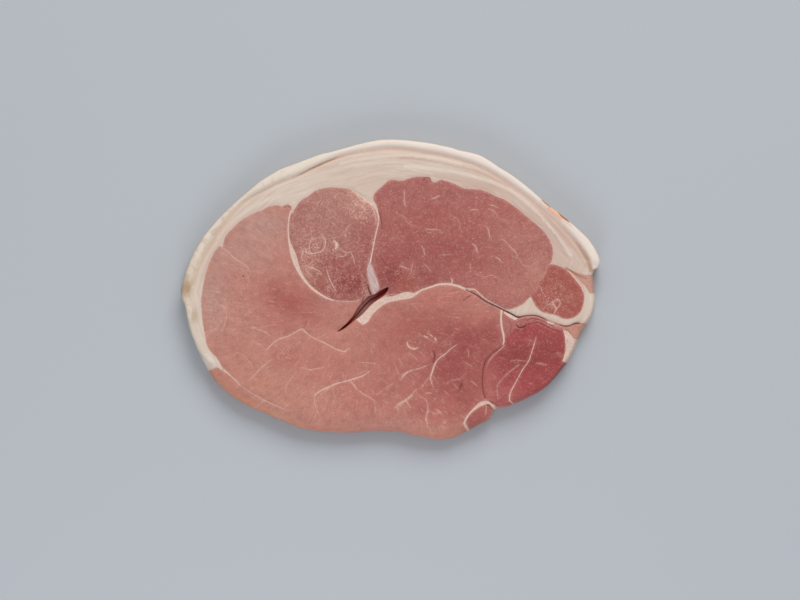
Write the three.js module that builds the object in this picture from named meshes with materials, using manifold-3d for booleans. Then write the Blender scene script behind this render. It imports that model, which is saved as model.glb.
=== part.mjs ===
// Gammon steak: one slice cut straight across a boned-out cured leg of pork.
// Units are millimetres, +Z is up. The slice lies on its lower cut face (z = 0), its long axis along X,
// the rind and fat cap round the back (+Y), the lean edge at the front (-Y).
// It is one continuous piece of tissue, so it is one closed solid: rind, fat, muscles and gristle are
// grown together and are not separate parts. The shallow furrows mark the natural seams between them.

import * as THREE from 'three';
import { mergeVertices } from 'three/addons/utils/BufferGeometryUtils.js';
import Module from 'manifold-3d';

// ---------------------------------------------------------------- driving dimensions
const LENGTH = 209.9;        // along X, over the rind
const WIDTH = 150.2;         // along Y
const THICKNESS = 12.0;      // nominal, rest face to upper cut face
const FOOT_ROUND = 1.5;      // how far the flat rest face stands in from the lowest edge of the wall
const RIND_RISE = 0.75;      // the rind dries and stands above the fat
const RIND_GROOVE = 0.8;     // depth of the line between rind and fat
const LEAN_FLARE = 4.2;      // on the lean side the wall runs out below the upper face
const FURROW_RADIUS = 1.15;  // section of the cutter that makes a seam furrow
const FURROW_DEPTH = 0.85;   // depth of the main seams
const FINE_DEPTH = 0.6;      // depth of the finer seams
const SLIT_FOOT = 0.45;      // width of the bone slit at the rest face, as a share of its width at the top
const COLUMNS = 116;         // facets round the slice

// Outline of the slice from above, anticlockwise, before it is scaled to LENGTH by WIDTH.
const OUTLINE = [[-9.9, 73.9], [-14.9, 72.8], [-19.8, 71.5], [-24.8, 70.1], [-29.8, 68.7], [-34.8, 67.5],
  [-39.8, 65.8], [-44.7, 63.9], [-49.7, 62], [-54.8, 60], [-59.8, 57.2], [-64.7, 54.1], [-69.8, 50],
  [-74.8, 45.8], [-79.9, 41.2], [-85.9, 35.2], [-90.7, 29.7], [-94, 25.3], [-96.4, 21.4], [-98.5, 17.7],
  [-99.9, 14.6], [-101.2, 11.1], [-102.4, 7.7], [-103.4, 4.2], [-104.4, 0.8], [-104.6, -2.5], [-104, -5.3],
  [-102.6, -8.8], [-101.8, -13.3], [-100.8, -18.1], [-99.5, -22.5], [-97.9, -26.6], [-96.2, -30.7],
  [-94.4, -34.5], [-92.7, -38.1], [-91, -41.3], [-88.8, -44.7], [-86.1, -47.7], [-82.6, -51], [-79.1, -53.8],
  [-75.2, -56.3], [-70.2, -59.1], [-65.1, -61.2], [-60.1, -63.5], [-55.2, -65.6], [-50.1, -67.7],
  [-45.1, -69.6], [-40, -70.7], [-35, -71.4], [-30, -71.8], [-24.9, -72], [-19.9, -72.1], [-14.8, -71.9],
  [-9.9, -71.3], [-4.9, -71.2], [0, -71.4], [5, -71.9], [10.5, -73.2], [15, -74.1], [20, -74.8], [24.6, -75.3],
  [28.7, -75.2], [32.4, -74.3], [35.5, -73], [38.5, -71.5], [41.5, -69.8], [45, -67.8], [48.8, -66],
  [51, -63.8], [52, -61.7], [53.2, -60.4], [55.8, -59.7], [59.4, -58.7], [63.5, -57.2], [67.5, -55.4],
  [71.5, -53.5], [75.7, -51.1], [79.3, -48.3], [82.4, -45.2], [85, -42.2], [87.5, -39.1], [90, -35.5],
  [91.9, -31.9], [93.4, -28.3], [94.6, -24.8], [95.8, -21.2], [98, -18.6], [100.5, -15.3], [102.2, -11.8],
  [103, -7.6], [102.8, -3.4], [102.5, 0.6], [102.2, 4], [102, 7.4], [102.7, 8.8], [104.7, 10.7], [105.3, 13.9],
  [104.2, 17.5], [102.5, 20.7], [100.2, 24.2], [95.2, 29.2], [90.2, 33.7], [85.2, 37.8], [80.2, 41.5],
  [75.2, 45.8], [70.2, 50.1], [65.2, 54.1], [60.2, 57.7], [55.1, 60.8], [50.1, 64.2], [45.1, 67], [40.1, 68.5],
  [35.1, 69.5], [30.2, 71], [25.1, 72.1], [20.1, 73.1], [15.1, 73.8], [10.1, 74.4], [5.1, 74.8], [0.1, 74.9],
  [-4.9, 74.7]];

// The line between rind and fat cap, from the left end round the back to the tip at the right.
const GROOVE = [[-96.4, 13.5], [-90.9, 24.8], [-83.9, 33.6], [-74.9, 42.3], [-64.9, 48.7], [-57.4, 52.4], [-49.4, 55.5],
  [-39.9, 59.7], [-32.4, 63.4], [-23.9, 66.7], [-13.9, 69], [-3.9, 70.7], [6.1, 71], [16.1, 69.4], [26.1, 67.3],
  [36.1, 65], [45.6, 62.3], [54.1, 57.6], [62.6, 51.6], [72.6, 43.6], [82.6, 34.6], [91.1, 25.8], [97.6, 17],
  [100.7, 9.2]];

// Centre line and half width of the slit the thigh bone came out of.
const SLIT = [[-26.1, -21.2, 0.1], [-23.4, -19.3, 0.6], [-20.9, -17, 1], [-18.7, -14.8, 1.15], [-16.6, -12.2, 1.45],
  [-14.6, -9.9, 1.65], [-12.5, -7.8, 1.8], [-10.6, -6.1, 1.85], [-8.6, -4.7, 1.45], [-6.5, -3.2, 1.4],
  [-4.4, -1.7, 1.3], [-2.5, -0.4, 1.05], [-1, 0.8, 0.2]];

// Seams: the lean side of the fat cap in four bays, then the seams between the muscles.
const CAP_LEFT = [[-81.9, -41.2], [-85.4, -36.2], [-88.9, -31.8], [-91.6, -27.2], [-93.2, -21], [-94.3, -11.5], [-94.3, -2.5],
  [-92.9, 5.5], [-90.6, 13.2], [-86.9, 19.6], [-85.1, 21.2]];
const CAP_BACK = [[-83.6, 20.8], [-82.4, 25.5], [-78.9, 30], [-74.7, 34], [-68.9, 37.5], [-63.4, 39.5], [-59.2, 41.5],
  [-53.9, 41.3], [-50.9, 42.3], [-49.1, 40], [-48.7, 37.8]];
const CAP_ROUND = [[-45.3, 43.2], [-40.9, 46.1], [-36.9, 49.2], [-29.9, 50.7], [-20.9, 50.1], [-15.9, 47.2], [-13.4, 45.6]];
const CAP_RIGHT = [[-10.9, 44.2], [-7.8, 47.5], [-2.9, 52.2], [2.6, 54.6], [9.1, 55.2], [17.6, 56], [21.9, 53.4], [28.1, 54.5],
  [35.6, 51.4], [45.1, 50.2], [54.1, 46.3], [62.1, 42], [71.1, 34.7], [78.6, 27.2], [81.9, 18.5], [80.7, 13.5]];
const SMALL_MUSCLE = [[79.6, 12.3], [85.1, 11.4], [89.8, 8.7], [93.8, 4.2], [96.8, -0.8], [96.9, -7], [94.7, -12.2], [89.6, -15],
  [83.8, -13.5], [77.6, -12], [73.1, -8.9], [70.3, -3.8], [67.1, -7], [61.1, -9.9], [57.6, -10.3]];
const ROUND_LEFT = [[-49.4, 39], [-50.7, 27.5], [-48.3, 17.2], [-44.1, 6.8], [-37.3, -0.9], [-28.4, -5.5], [-16.4, -5.8],
  [-13.9, -4.5]];
const ROUND_RIGHT = [[-9.9, 44], [-5.6, 35.5], [-7.2, 26.5], [-9.3, 16], [-9.8, 13]];
const MIDDLE = [[7.1, -4], [15.3, -0.8], [24.1, 2.2], [34.1, 1.5], [40.6, -1.6], [48.6, -6.6], [56.1, -10.1], [63.1, -13.8],
  [70.1, -13.3], [77.6, -15.2], [85.1, -18], [90.1, -18.3]];
const DROP = [[55.9, -10.7], [56, -19.5], [56.6, -28], [49.3, -34], [46.4, -42.5], [46.8, -51.5], [47.6, -54.7]];
const DARK_LINE = [[73.1, -24], [70.4, -33], [65.9, -41], [61.9, -48.5], [59.8, -56.7]];
const FRONT_ARC = [[34.3, -72], [37.3, -66.7], [40.6, -61.5], [45.1, -57.7], [49.8, -57.1], [51.8, -61]];
const LEFT_LINE = [[-62.4, -31], [-54.4, -24.6], [-45.9, -20.9], [-39.9, -23.3], [-30.9, -27.8], [-22.6, -31.2], [-20.2, -29.5]];

// The upper face swells over each muscle and sinks at the slit: centre x, y, reach in x, y, and height.
const SWELLS = [
  [-29, 22, 19, 23, 0.75],
  [36, 26, 36, 20, 0.65],
  [84, -1.5, 11, 9, 0.6],
  [66, -36, 19, 18, 0.7],
  [-72, 14, 17, 22, 0.35],
  [-56, -38, 26, 22, 0.4],
  [4, -38, 36, 24, 0.55],
  [-14, -9, 13, 8, -0.8],
  [45, -58, 7, 6, 0.3],
];

// ---------------------------------------------------------------- shape functions
function upperFace(x, y) {
  let z = THICKNESS + 0.4 * Math.sin(x / 27 + 0.8) * Math.cos(y / 24 - 0.5) + 0.2 * Math.sin((x + 1.4 * y) / 17);
  for (const [cx, cy, rx, ry, h] of SWELLS) {
    z += h * Math.exp(-(((x - cx) / rx) ** 2) - ((y - cy) / ry) ** 2);
  }
  return z;
}

function smooth(a, b, v) {
  const t = Math.min(1, Math.max(0, (v - a) / (b - a)));
  return t * t * (3 - 2 * t);
}

const spline = new THREE.CatmullRomCurve3(OUTLINE.map(([x, y]) => new THREE.Vector3(x, y, 0)), true, 'centripetal');
spline.arcLengthDivisions = 2000;
const fine = spline.getSpacedPoints(1600);
const low = [Infinity, Infinity];
const high = [-Infinity, -Infinity];
for (const p of fine) {
  low[0] = Math.min(low[0], p.x); high[0] = Math.max(high[0], p.x);
  low[1] = Math.min(low[1], p.y); high[1] = Math.max(high[1], p.y);
}
const scaleX = LENGTH / (high[0] - low[0]);
const scaleY = WIDTH / (high[1] - low[1]);
const midX = (high[0] + low[0]) / 2;
const midY = (high[1] + low[1]) / 2;
const place = ([x, y]) => [(x - midX) * scaleX, (y - midY) * scaleY];
const rim = spline.getSpacedPoints(COLUMNS).slice(0, COLUMNS).map((p) => place([p.x, p.y]));
const groove = GROOVE.map(place);

// Distance from the middle of the slice to a polyline along one direction, or null if it isn't crossed.
function reach(line, dx, dy) {
  for (let i = 0; i + 1 < line.length; i += 1) {
    const [ax, ay] = line[i];
    const ex = line[i + 1][0] - ax;
    const ey = line[i + 1][1] - ay;
    const det = dx * ey - dy * ex;
    if (Math.abs(det) < 1e-9) continue;
    const r = (ax * ey - ay * ex) / det;
    const s = (ax * dy - ay * dx) / det;
    if (r > 0 && s >= 0 && s <= 1) return r;
  }
  return null;
}

// Each column of facets runs in a vertical plane from the middle of the slice out to one rim point.
const columns = rim.map(([x, y], i) => {
  const radius = Math.hypot(x, y);
  const dx = x / radius;
  const dy = y / radius;
  const [px, py] = rim[(i + COLUMNS - 1) % COLUMNS];
  const [qx, qy] = rim[(i + 1) % COLUMNS];
  const tx = qx - px;
  const ty = qy - py;
  const cosine = Math.abs(dx * ty - dy * tx) / Math.hypot(tx, ty);
  const lean = Math.min(1.35, 1 / Math.max(cosine, 0.3));   // an inset across the rim, measured along the ray
  let angle = Math.atan2(y, x) * 180 / Math.PI;
  if (angle < -90) angle += 360;                            // -90 to 270, the back of the slice in the middle
  const rind = smooth(2, 9, angle) * (1 - smooth(196, 206, angle));
  const bare = 1 - rind;
  const right = smooth(-66, -52, angle) * (1 - smooth(8, 14, angle));
  const flare = LEAN_FLARE * (bare * (1 - 0.62 * right) + 0.28 * rind * smooth(150, 185, angle));
  const crossing = reach(groove, dx, dy);
  return { dx, dy, radius, lean, rind, flare, crossing };
});
const known = columns.map((c) => (c.crossing === null ? null : (c.radius - c.crossing) / c.lean));
const insets = known.map((v, i) => {
  if (v !== null) return Math.max(2.9, v);
  for (let k = 1; k < COLUMNS; k += 1) {
    const a = known[(i + k) % COLUMNS];
    const b = known[(i - k + COLUMNS) % COLUMNS];
    if (a !== null || b !== null) return Math.max(2.9, a ?? b);
  }
  return 4;
});

// Rows from the middle of the upper face, over the rim and back to the middle of the rest face.
const INNER = [0, 0.16, 0.31, 0.45, 0.57, 0.68, 0.78, 0.87, 0.94, 1];
const WALL = [
  // share of the flare, inset without flare, height
  [1.0, 0.5, 'shoulder'],
  [0.62, 0.06, 9.2],
  [0.2, 0.0, 7.0],
  [0.0, 0.02, 4.0],
  [0.0, 0.42, 1.0],
];
const FLOOR = [1, 0.84, 0.58, 0.3, 0];

function columnPoints(c, g) {
  const at = (inset) => {
    const r = c.radius - inset * c.lean;
    return [c.dx * r, c.dy * r];
  };
  const rows = [];
  const crest = Math.max(1.5, c.flare + 1.1);
  const bed = Math.max(g, crest + 1.3);
  const [ix, iy] = at(bed + 1.3);
  const inner = Math.hypot(ix, iy);
  for (const t of INNER) {
    const x = c.dx * inner * t;
    const y = c.dy * inner * t;
    rows.push([x, y, upperFace(x, y)]);
  }
  const [bx, by] = at(bed);
  rows.push([bx, by, upperFace(bx, by) - RIND_GROOVE * c.rind]);
  const [cx, cy] = at(bed - 1.1);
  rows.push([cx, cy, upperFace(cx, cy) + (RIND_RISE + 0.15) * c.rind - 0.2 * (1 - c.rind)]);
  const [dx, dy] = at(crest);
  const top = upperFace(dx, dy);
  rows.push([dx, dy, top + RIND_RISE * c.rind - 0.45 * (1 - c.rind)]);
  for (const [share, plain, height] of WALL) {
    const inset = share * c.flare + plain;
    const [x, y] = at(inset);
    rows.push([x, y, height === 'shoulder' ? top - 0.55 - 0.75 * (1 - c.rind) : height]);
  }
  const [fx, fy] = at(FOOT_ROUND);
  for (const t of FLOOR) rows.push([fx * t, fy * t, 0]);
  return rows;
}

const table = columns.map((c, i) => columnPoints(c, insets[i]));
const ROWS = table[0].length;

// A sphere's grid has just this build: a pole in the middle of each face and closed rings between them.
const body = new THREE.SphereGeometry(1, COLUMNS, ROWS - 1);
const position = body.attributes.position;
for (let row = 0; row < ROWS; row += 1) {
  for (let column = 0; column <= COLUMNS; column += 1) {
    const [x, y, z] = table[column % COLUMNS][row];
    position.setXYZ(row * (COLUMNS + 1) + column, x, y, z);
  }
}

// ---------------------------------------------------------------- joins and cuts
const wasm = await Module();
wasm.setup();

function solid(geometry) {
  const bare = geometry.clone();
  bare.deleteAttribute('normal');
  bare.deleteAttribute('uv');
  const merged = mergeVertices(bare, 1e-4);
  return new wasm.Manifold(new wasm.Mesh({
    numProp: 3,
    vertProperties: Float32Array.from(merged.attributes.position.array),
    triVerts: Uint32Array.from(merged.index.array),
  }));
}

const SECTION = new THREE.Shape(Array.from({ length: 6 }, (_, i) => new THREE.Vector2(
  FURROW_RADIUS * Math.cos((i * Math.PI) / 3), FURROW_RADIUS * Math.sin((i * Math.PI) / 3))));

function furrow(line, depth, steps) {
  const points = line.map(place).map(([x, y]) => new THREE.Vector3(x, y, upperFace(x, y) + FURROW_RADIUS * 0.93 - depth));
  const path = new THREE.CatmullRomCurve3(points, false, 'centripetal');
  return new THREE.ExtrudeGeometry(SECTION, { steps, bevelEnabled: false, extrudePath: path });
}

// The bone slit goes right through and narrows to the rest face.
function slitCutter() {
  const mid = SLIT.map(([x, y, w]) => [...place([x, y]), w]);
  const side = (sign) => mid.map(([x, y, w], i) => {
    const a = mid[Math.max(0, i - 1)];
    const b = mid[Math.min(mid.length - 1, i + 1)];
    const l = Math.hypot(b[0] - a[0], b[1] - a[1]);
    return [x - sign * w * (b[1] - a[1]) / l, y + sign * w * (b[0] - a[0]) / l];
  });
  const outline = [...side(-1), ...side(1).reverse()];
  const cutter = new THREE.ExtrudeGeometry(new THREE.Shape(outline.map(([x, y]) => new THREE.Vector2(x, y))),
    { depth: THICKNESS + 8, steps: 1, bevelEnabled: false });
  const p = cutter.attributes.position;
  for (let i = 0; i < p.count; i += 1) {
    if (p.getZ(i) > 1) continue;
    let best = null;
    for (let k = 0; k < mid.length; k += 1) {
      const d = Math.hypot(p.getX(i) - mid[k][0], p.getY(i) - mid[k][1]);
      if (best === null || d < best[0]) best = [d, k];
    }
    const [mx, my] = mid[best[1]];
    p.setXY(i, mx + (p.getX(i) - mx) * SLIT_FOOT, my + (p.getY(i) - my) * SLIT_FOOT);
  }
  cutter.translate(0, 0, -2);
  return cutter;
}

let slice = solid(body);
for (const [line, depth, steps] of [
  [CAP_LEFT, FINE_DEPTH, 12],
  [CAP_BACK, FINE_DEPTH, 13],
  [CAP_ROUND, FINE_DEPTH, 12],
  [CAP_RIGHT, FINE_DEPTH, 26],
  [SMALL_MUSCLE, FURROW_DEPTH, 14],
  [ROUND_LEFT, FURROW_DEPTH, 15],
  [ROUND_RIGHT, FINE_DEPTH, 9],
  [MIDDLE, FURROW_DEPTH, 22],
  [DROP, FURROW_DEPTH, 13],
  [DARK_LINE, FINE_DEPTH, 8],
  [FRONT_ARC, FURROW_DEPTH, 8],
  [LEFT_LINE, FINE_DEPTH, 9],
]) {
  slice = slice.subtract(solid(furrow(line, depth, steps)));
}
slice = slice.subtract(solid(slitCutter()));

// ---------------------------------------------------------------- the part
const mesh = slice.getMesh();
const geometry = new THREE.BufferGeometry();
geometry.setAttribute('position', new THREE.BufferAttribute(Float32Array.from(mesh.vertProperties), 3));
geometry.setIndex(new THREE.BufferAttribute(Uint32Array.from(mesh.triVerts), 1));
geometry.computeBoundingBox();
const box = geometry.boundingBox;
geometry.translate(-(box.min.x + box.max.x) / 2, -(box.min.y + box.max.y) / 2, -box.min.z);
geometry.computeVertexNormals();

const gammonSteak = new THREE.Mesh(geometry, new THREE.MeshStandardMaterial({
  color: 0xb4786c,
  roughness: 0.5,
  metalness: 0,
}));
gammonSteak.name = 'gammon_steak';

const part = new THREE.Group();
part.add(gammonSteak);

export default part;
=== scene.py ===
"""The looks of the gammon steak: one closed mesh of the slice, with its own relief and a procedural material,
on a plain floor, seen from straight above. Lengths in the data below are millimetres in the CAD frame."""

import bpy
import numpy as np
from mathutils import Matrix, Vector
from mathutils.geometry import delaunay_2d_cdt


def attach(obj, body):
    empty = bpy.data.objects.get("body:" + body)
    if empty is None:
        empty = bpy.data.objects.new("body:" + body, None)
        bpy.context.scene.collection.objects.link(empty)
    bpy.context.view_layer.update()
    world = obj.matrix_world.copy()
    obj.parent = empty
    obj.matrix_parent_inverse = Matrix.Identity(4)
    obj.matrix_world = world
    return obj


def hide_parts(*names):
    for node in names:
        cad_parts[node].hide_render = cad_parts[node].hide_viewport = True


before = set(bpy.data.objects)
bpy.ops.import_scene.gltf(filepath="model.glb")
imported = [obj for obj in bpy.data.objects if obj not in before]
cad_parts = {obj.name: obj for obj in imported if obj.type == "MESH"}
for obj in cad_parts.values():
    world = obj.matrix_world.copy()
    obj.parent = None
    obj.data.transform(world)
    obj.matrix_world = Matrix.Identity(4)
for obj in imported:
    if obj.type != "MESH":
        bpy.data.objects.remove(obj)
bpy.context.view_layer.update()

# ---------------------------------------------------------------- measurements, shared with the CAD source
LENGTH, WIDTH, THICKNESS = 209.9, 150.2, 12.0
FOOT_ROUND = 1.5          # how far the rest face stands in from the lowest edge of the wall
RIND_RISE = 0.75          # the rind stands this much above the fat
LEAN_FLARE = 4.2          # on the lean side the wall runs out below the upper face
SWELLS = [                # swell over each muscle, hollow at the slit: x, y, reach x, reach y, height
    (-29, 22, 19, 23, 0.75), (36, 26, 36, 20, 0.65), (84, -1.5, 11, 9, 0.6), (66, -36, 19, 18, 0.7),
    (-72, 14, 17, 22, 0.35), (-56, -38, 26, 22, 0.4), (4, -38, 36, 24, 0.55), (-14, -9, 13, 8, -0.8),
    (45, -58, 7, 6, 0.3),
]

TOP_STEP = 0.8            # mesh spacing on the cut face that shows
UNDER_STEP = 1.5          # and on the rest face
RIM_STEP = 0.62           # and round the rim

# ---------------------------------------------------------------- the cut face, as x, y in mm; +X is right and +Y the rind side
OUTLINE = [  # anticlockwise from the middle of the lean side
    (-35, -71.4), (-30, -71.8), (-24.9, -72), (-19.9, -72.1), (-14.8, -71.9), (-9.9, -71.3), (-4.9, -71.2),
    (0, -71.4), (5, -71.9), (10.5, -73.2), (15, -74.1), (20, -74.8), (24.6, -75.3), (28.7, -75.2), (32.4, -74.3),
    (35.5, -73), (38.5, -71.5), (41.5, -69.8), (45, -67.8), (48.8, -66), (51, -63.8), (52, -61.7), (53.2, -60.4),
    (55.8, -59.7), (59.4, -58.7), (63.5, -57.2), (67.5, -55.4), (71.5, -53.5), (75.7, -51.1), (79.3, -48.3),
    (82.4, -45.2), (85, -42.2), (87.5, -39.1), (90, -35.5), (91.9, -31.9), (93.4, -28.3), (94.6, -24.8),
    (95.8, -21.2), (98, -18.6), (100.5, -15.3), (102.2, -11.8), (103, -7.6), (102.8, -3.4), (102.5, 0.6), (102.2, 4),
    (102, 7.4), (102.7, 8.8), (104.7, 10.7), (105.3, 13.9), (104.2, 17.5), (102.5, 20.7), (100.2, 24.2),
    (95.2, 29.2), (90.2, 33.7), (85.2, 37.8), (80.2, 41.5), (75.2, 45.8), (70.2, 50.1), (65.2, 54.1), (60.2, 57.7),
    (55.1, 60.8), (50.1, 64.2), (45.1, 67), (40.1, 68.5), (35.1, 69.5), (30.2, 71), (25.1, 72.1), (20.1, 73.1),
    (15.1, 73.8), (10.1, 74.4), (5.1, 74.8), (0.1, 74.9), (-4.9, 74.7), (-9.9, 73.9), (-14.9, 72.8), (-19.8, 71.5),
    (-24.8, 70.1), (-29.8, 68.7), (-34.8, 67.5), (-39.8, 65.8), (-44.7, 63.9), (-49.7, 62), (-54.8, 60),
    (-59.8, 57.2), (-64.7, 54.1), (-69.8, 50), (-74.8, 45.8), (-79.9, 41.2), (-85.9, 35.2), (-90.7, 29.7),
    (-94, 25.3), (-96.4, 21.4), (-98.5, 17.7), (-99.9, 14.6), (-101.2, 11.1), (-102.4, 7.7), (-103.4, 4.2),
    (-104.4, 0.8), (-104.6, -2.5), (-104, -5.3), (-102.6, -8.8), (-101.8, -13.3), (-100.8, -18.1), (-99.5, -22.5),
    (-97.9, -26.6), (-96.2, -30.7), (-94.4, -34.5), (-92.7, -38.1), (-91, -41.3), (-88.8, -44.7), (-86.1, -47.7),
    (-82.6, -51), (-79.1, -53.8), (-75.2, -56.3), (-70.2, -59.1), (-65.1, -61.2), (-60.1, -63.5), (-55.2, -65.6),
    (-50.1, -67.7), (-45.1, -69.6), (-40, -70.7),
]

GROOVE = [  # between rind and fat, left to right
    (-98.1, 2.5), (-96.9, 7), (-95.2, 11.7), (-92.9, 17.5), (-89.4, 23.3), (-85.9, 29), (-82.5, 33.3), (-79.1, 37.6),
    (-74.9, 41.8), (-70.6, 45.1), (-65.4, 48.1), (-60.9, 50.3), (-57.4, 52.1), (-53.4, 53.9), (-49.4, 55.4),
    (-44.9, 57.3), (-39.9, 59.8), (-35.9, 61.7), (-32.4, 63.3), (-28.4, 64.9), (-23.9, 66.4), (-18.9, 67.6),
    (-13.9, 68.5), (-8.9, 69.3), (-3.9, 70), (1.1, 70.2), (6.1, 69.9), (11.1, 69.3), (16.1, 68.5), (21.1, 67.7),
    (26.1, 66.8), (31.1, 65.6), (36.1, 64.2), (41.1, 62.6), (45.6, 60.8), (50.1, 58.6), (54.1, 56.2), (58.1, 53.7),
    (62.6, 50.7), (67.6, 47.1), (72.6, 43.3), (77.6, 39), (82.6, 34.5), (87.1, 30.1), (91.1, 25.7), (94.6, 21.3),
    (97.6, 16.9), (99.6, 13), (100.7, 9.2),
]

GROOVE_LOOK = [  # the same line with its half width and its darkness
    (-98.1, 2.5, 1.1, 0.35), (-96.9, 7, 1.15, 0.38), (-95.2, 11.7, 1.21, 0.43), (-92.9, 17.5, 1.3, 0.5),
    (-89.4, 23.3, 1.3, 0.53), (-85.9, 29, 1.3, 0.55), (-82.5, 33.3, 1.2, 0.52), (-79.1, 37.6, 1.09, 0.51),
    (-74.9, 41.8, 0.9, 0.6), (-70.6, 45.1, 0.83, 0.65), (-65.4, 48.1, 0.75, 0.72), (-60.9, 50.3, 0.75, 0.68),
    (-57.4, 52.1, 0.75, 0.65), (-53.4, 53.9, 0.8, 0.68), (-49.4, 55.4, 0.85, 0.7), (-44.9, 57.3, 0.71, 0.87),
    (-39.9, 59.8, 0.65, 0.99), (-35.9, 61.7, 0.67, 1), (-32.4, 63.3, 0.69, 1), (-28.4, 64.9, 0.71, 0.93),
    (-23.9, 66.4, 0.75, 0.7), (-18.9, 67.6, 0.82, 0.62), (-13.9, 68.5, 0.9, 0.55), (-8.9, 69.3, 1, 0.53),
    (-3.9, 70, 1.1, 0.5), (1.1, 70.2, 1.15, 0.54), (6.1, 69.9, 1.2, 0.58), (11.1, 69.3, 1.2, 0.61),
    (16.1, 68.5, 1.2, 0.63), (21.1, 67.7, 1.2, 0.66), (26.1, 66.8, 1.15, 0.65), (31.1, 65.6, 1.1, 0.65),
    (36.1, 64.2, 1.05, 0.64), (41.1, 62.6, 1.02, 0.62), (45.6, 60.8, 1, 0.6), (50.1, 58.6, 0.95, 0.57),
    (54.1, 56.2, 0.9, 0.55), (58.1, 53.7, 0.88, 0.53), (62.6, 50.7, 0.85, 0.5), (67.6, 47.1, 0.82, 0.5),
    (72.6, 43.3, 0.8, 0.5), (77.6, 39, 0.8, 0.53), (82.6, 34.5, 0.8, 0.55), (87.1, 30.1, 0.88, 0.63),
    (91.1, 25.7, 0.95, 0.7), (94.6, 21.3, 1.15, 0.85), (97.6, 16.9, 1.36, 0.94), (99.6, 13, 1.34, 0.95),
    (100.7, 9.2, 1.3, 0.95),
]

CAP = [  # the fat's edges: along the lean, along the parted seam, and its lower left end
    [(-81.9, -41.2), (-84.2, -38.5), (-85.4, -36.2), (-86.9, -34), (-88.9, -31.8), (-90.4, -29.8), (-91.6, -27.2), (-92, -24.4), (-92.8, -20.9), (-93.5, -16.4), (-93.9, -11.4), (-94.2, -6.5), (-93.9, -2.6), (-93.3, 1.4), (-92.5, 5.4), (-91.5, 9.4), (-90.2, 13.1), (-88.6, 16.5), (-86.9, 19.6), (-85.1, 21.2), (-83.6, 20.8), (-83.1, 23), (-82.4, 25.5), (-80.9, 27.9), (-78.9, 30), (-76.9, 32), (-74.7, 34), (-71.9, 35.8), (-68.9, 37.5), (-65.9, 38.7), (-63.4, 39.5), (-61.4, 40.8), (-59.2, 41.5), (-56.4, 41.8), (-53.9, 41.3), (-52.7, 41.9), (-50.9, 42.3), (-49.4, 41.5), (-49.1, 40), (-49.8, 38), (-48.7, 37.8), (-46.9, 41), (-45.3, 43.2), (-42.9, 45.2), (-40.9, 46.1), (-39.4, 47.5), (-36.9, 49.2), (-33.9, 50.2), (-29.9, 50.7), (-24.9, 50.6), (-20.9, 50.1), (-18.4, 48.9), (-15.9, 47.2), (-13.4, 45.6), (-10.9, 44.2), (-8.4, 42.8), (-8.2, 45.5), (-7.8, 47.5), (-6.4, 49.2), (-4.4, 50.9), (-2.9, 52.2), (-1.4, 53.7), (0.3, 54.5), (2.6, 54.6), (5.1, 54.2), (7.1, 54.3), (9.1, 55.2), (12.1, 56), (15.1, 56.2), (17.6, 56), (19.8, 55.6), (20.9, 54), (21.9, 53.4), (23.8, 53.8), (25.7, 54.5), (28, 54), (30.9, 53.1), (33.4, 52), (35.4, 51), (38, 50.2), (41.5, 50), (45, 49.8), (48.4, 48.8), (51.4, 47.3), (53.9, 45.9), (56.9, 44.8), (59.3, 43.3), (61.8, 41.7), (64.8, 39.3), (67.8, 36.8), (70.8, 34.3), (73.8, 31.8), (76.2, 29.4), (78.2, 27), (79.9, 24.3), (81, 21.4), (81.5, 18.5), (81.2, 15.6), (80.7, 13.5), (79.6, 12.3), (82.6, 12.2), (85.1, 11.4), (87.6, 10.2), (89.8, 8.7), (91.8, 6.5), (93.8, 4.2), (95.6, 1.8), (96.8, -0.8), (97.2, -3.8), (96.9, -7), (96.1, -9.8), (94.7, -12.2), (92.6, -14), (89.6, -15), (86.6, -14.8), (83.8, -13.5), (80.6, -12.5), (77.6, -12), (75.1, -10.8), (73.1, -8.9), (71.6, -6), (70.3, -3.8), (68.8, -5.3), (67.1, -7), (64.6, -8.6), (61.1, -9.9), (57.6, -10.3)],
    [(57.6, -10.7), (61.1, -12.3), (63.6, -13.8), (67.1, -13.1), (70.1, -12.9), (73.1, -13), (76.1, -13.8), (79.1, -15.3), (82.6, -16.5), (86.1, -17.8), (89.6, -17.9), (93.1, -17), (97.1, -16.8), (101.1, -13.5)],
    [(-81.9, -41.2), (-84.4, -40.3), (-86.9, -38.5), (-88.7, -37.4), (-90.1, -38.8), (-92.2, -41.2)],
]

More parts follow.
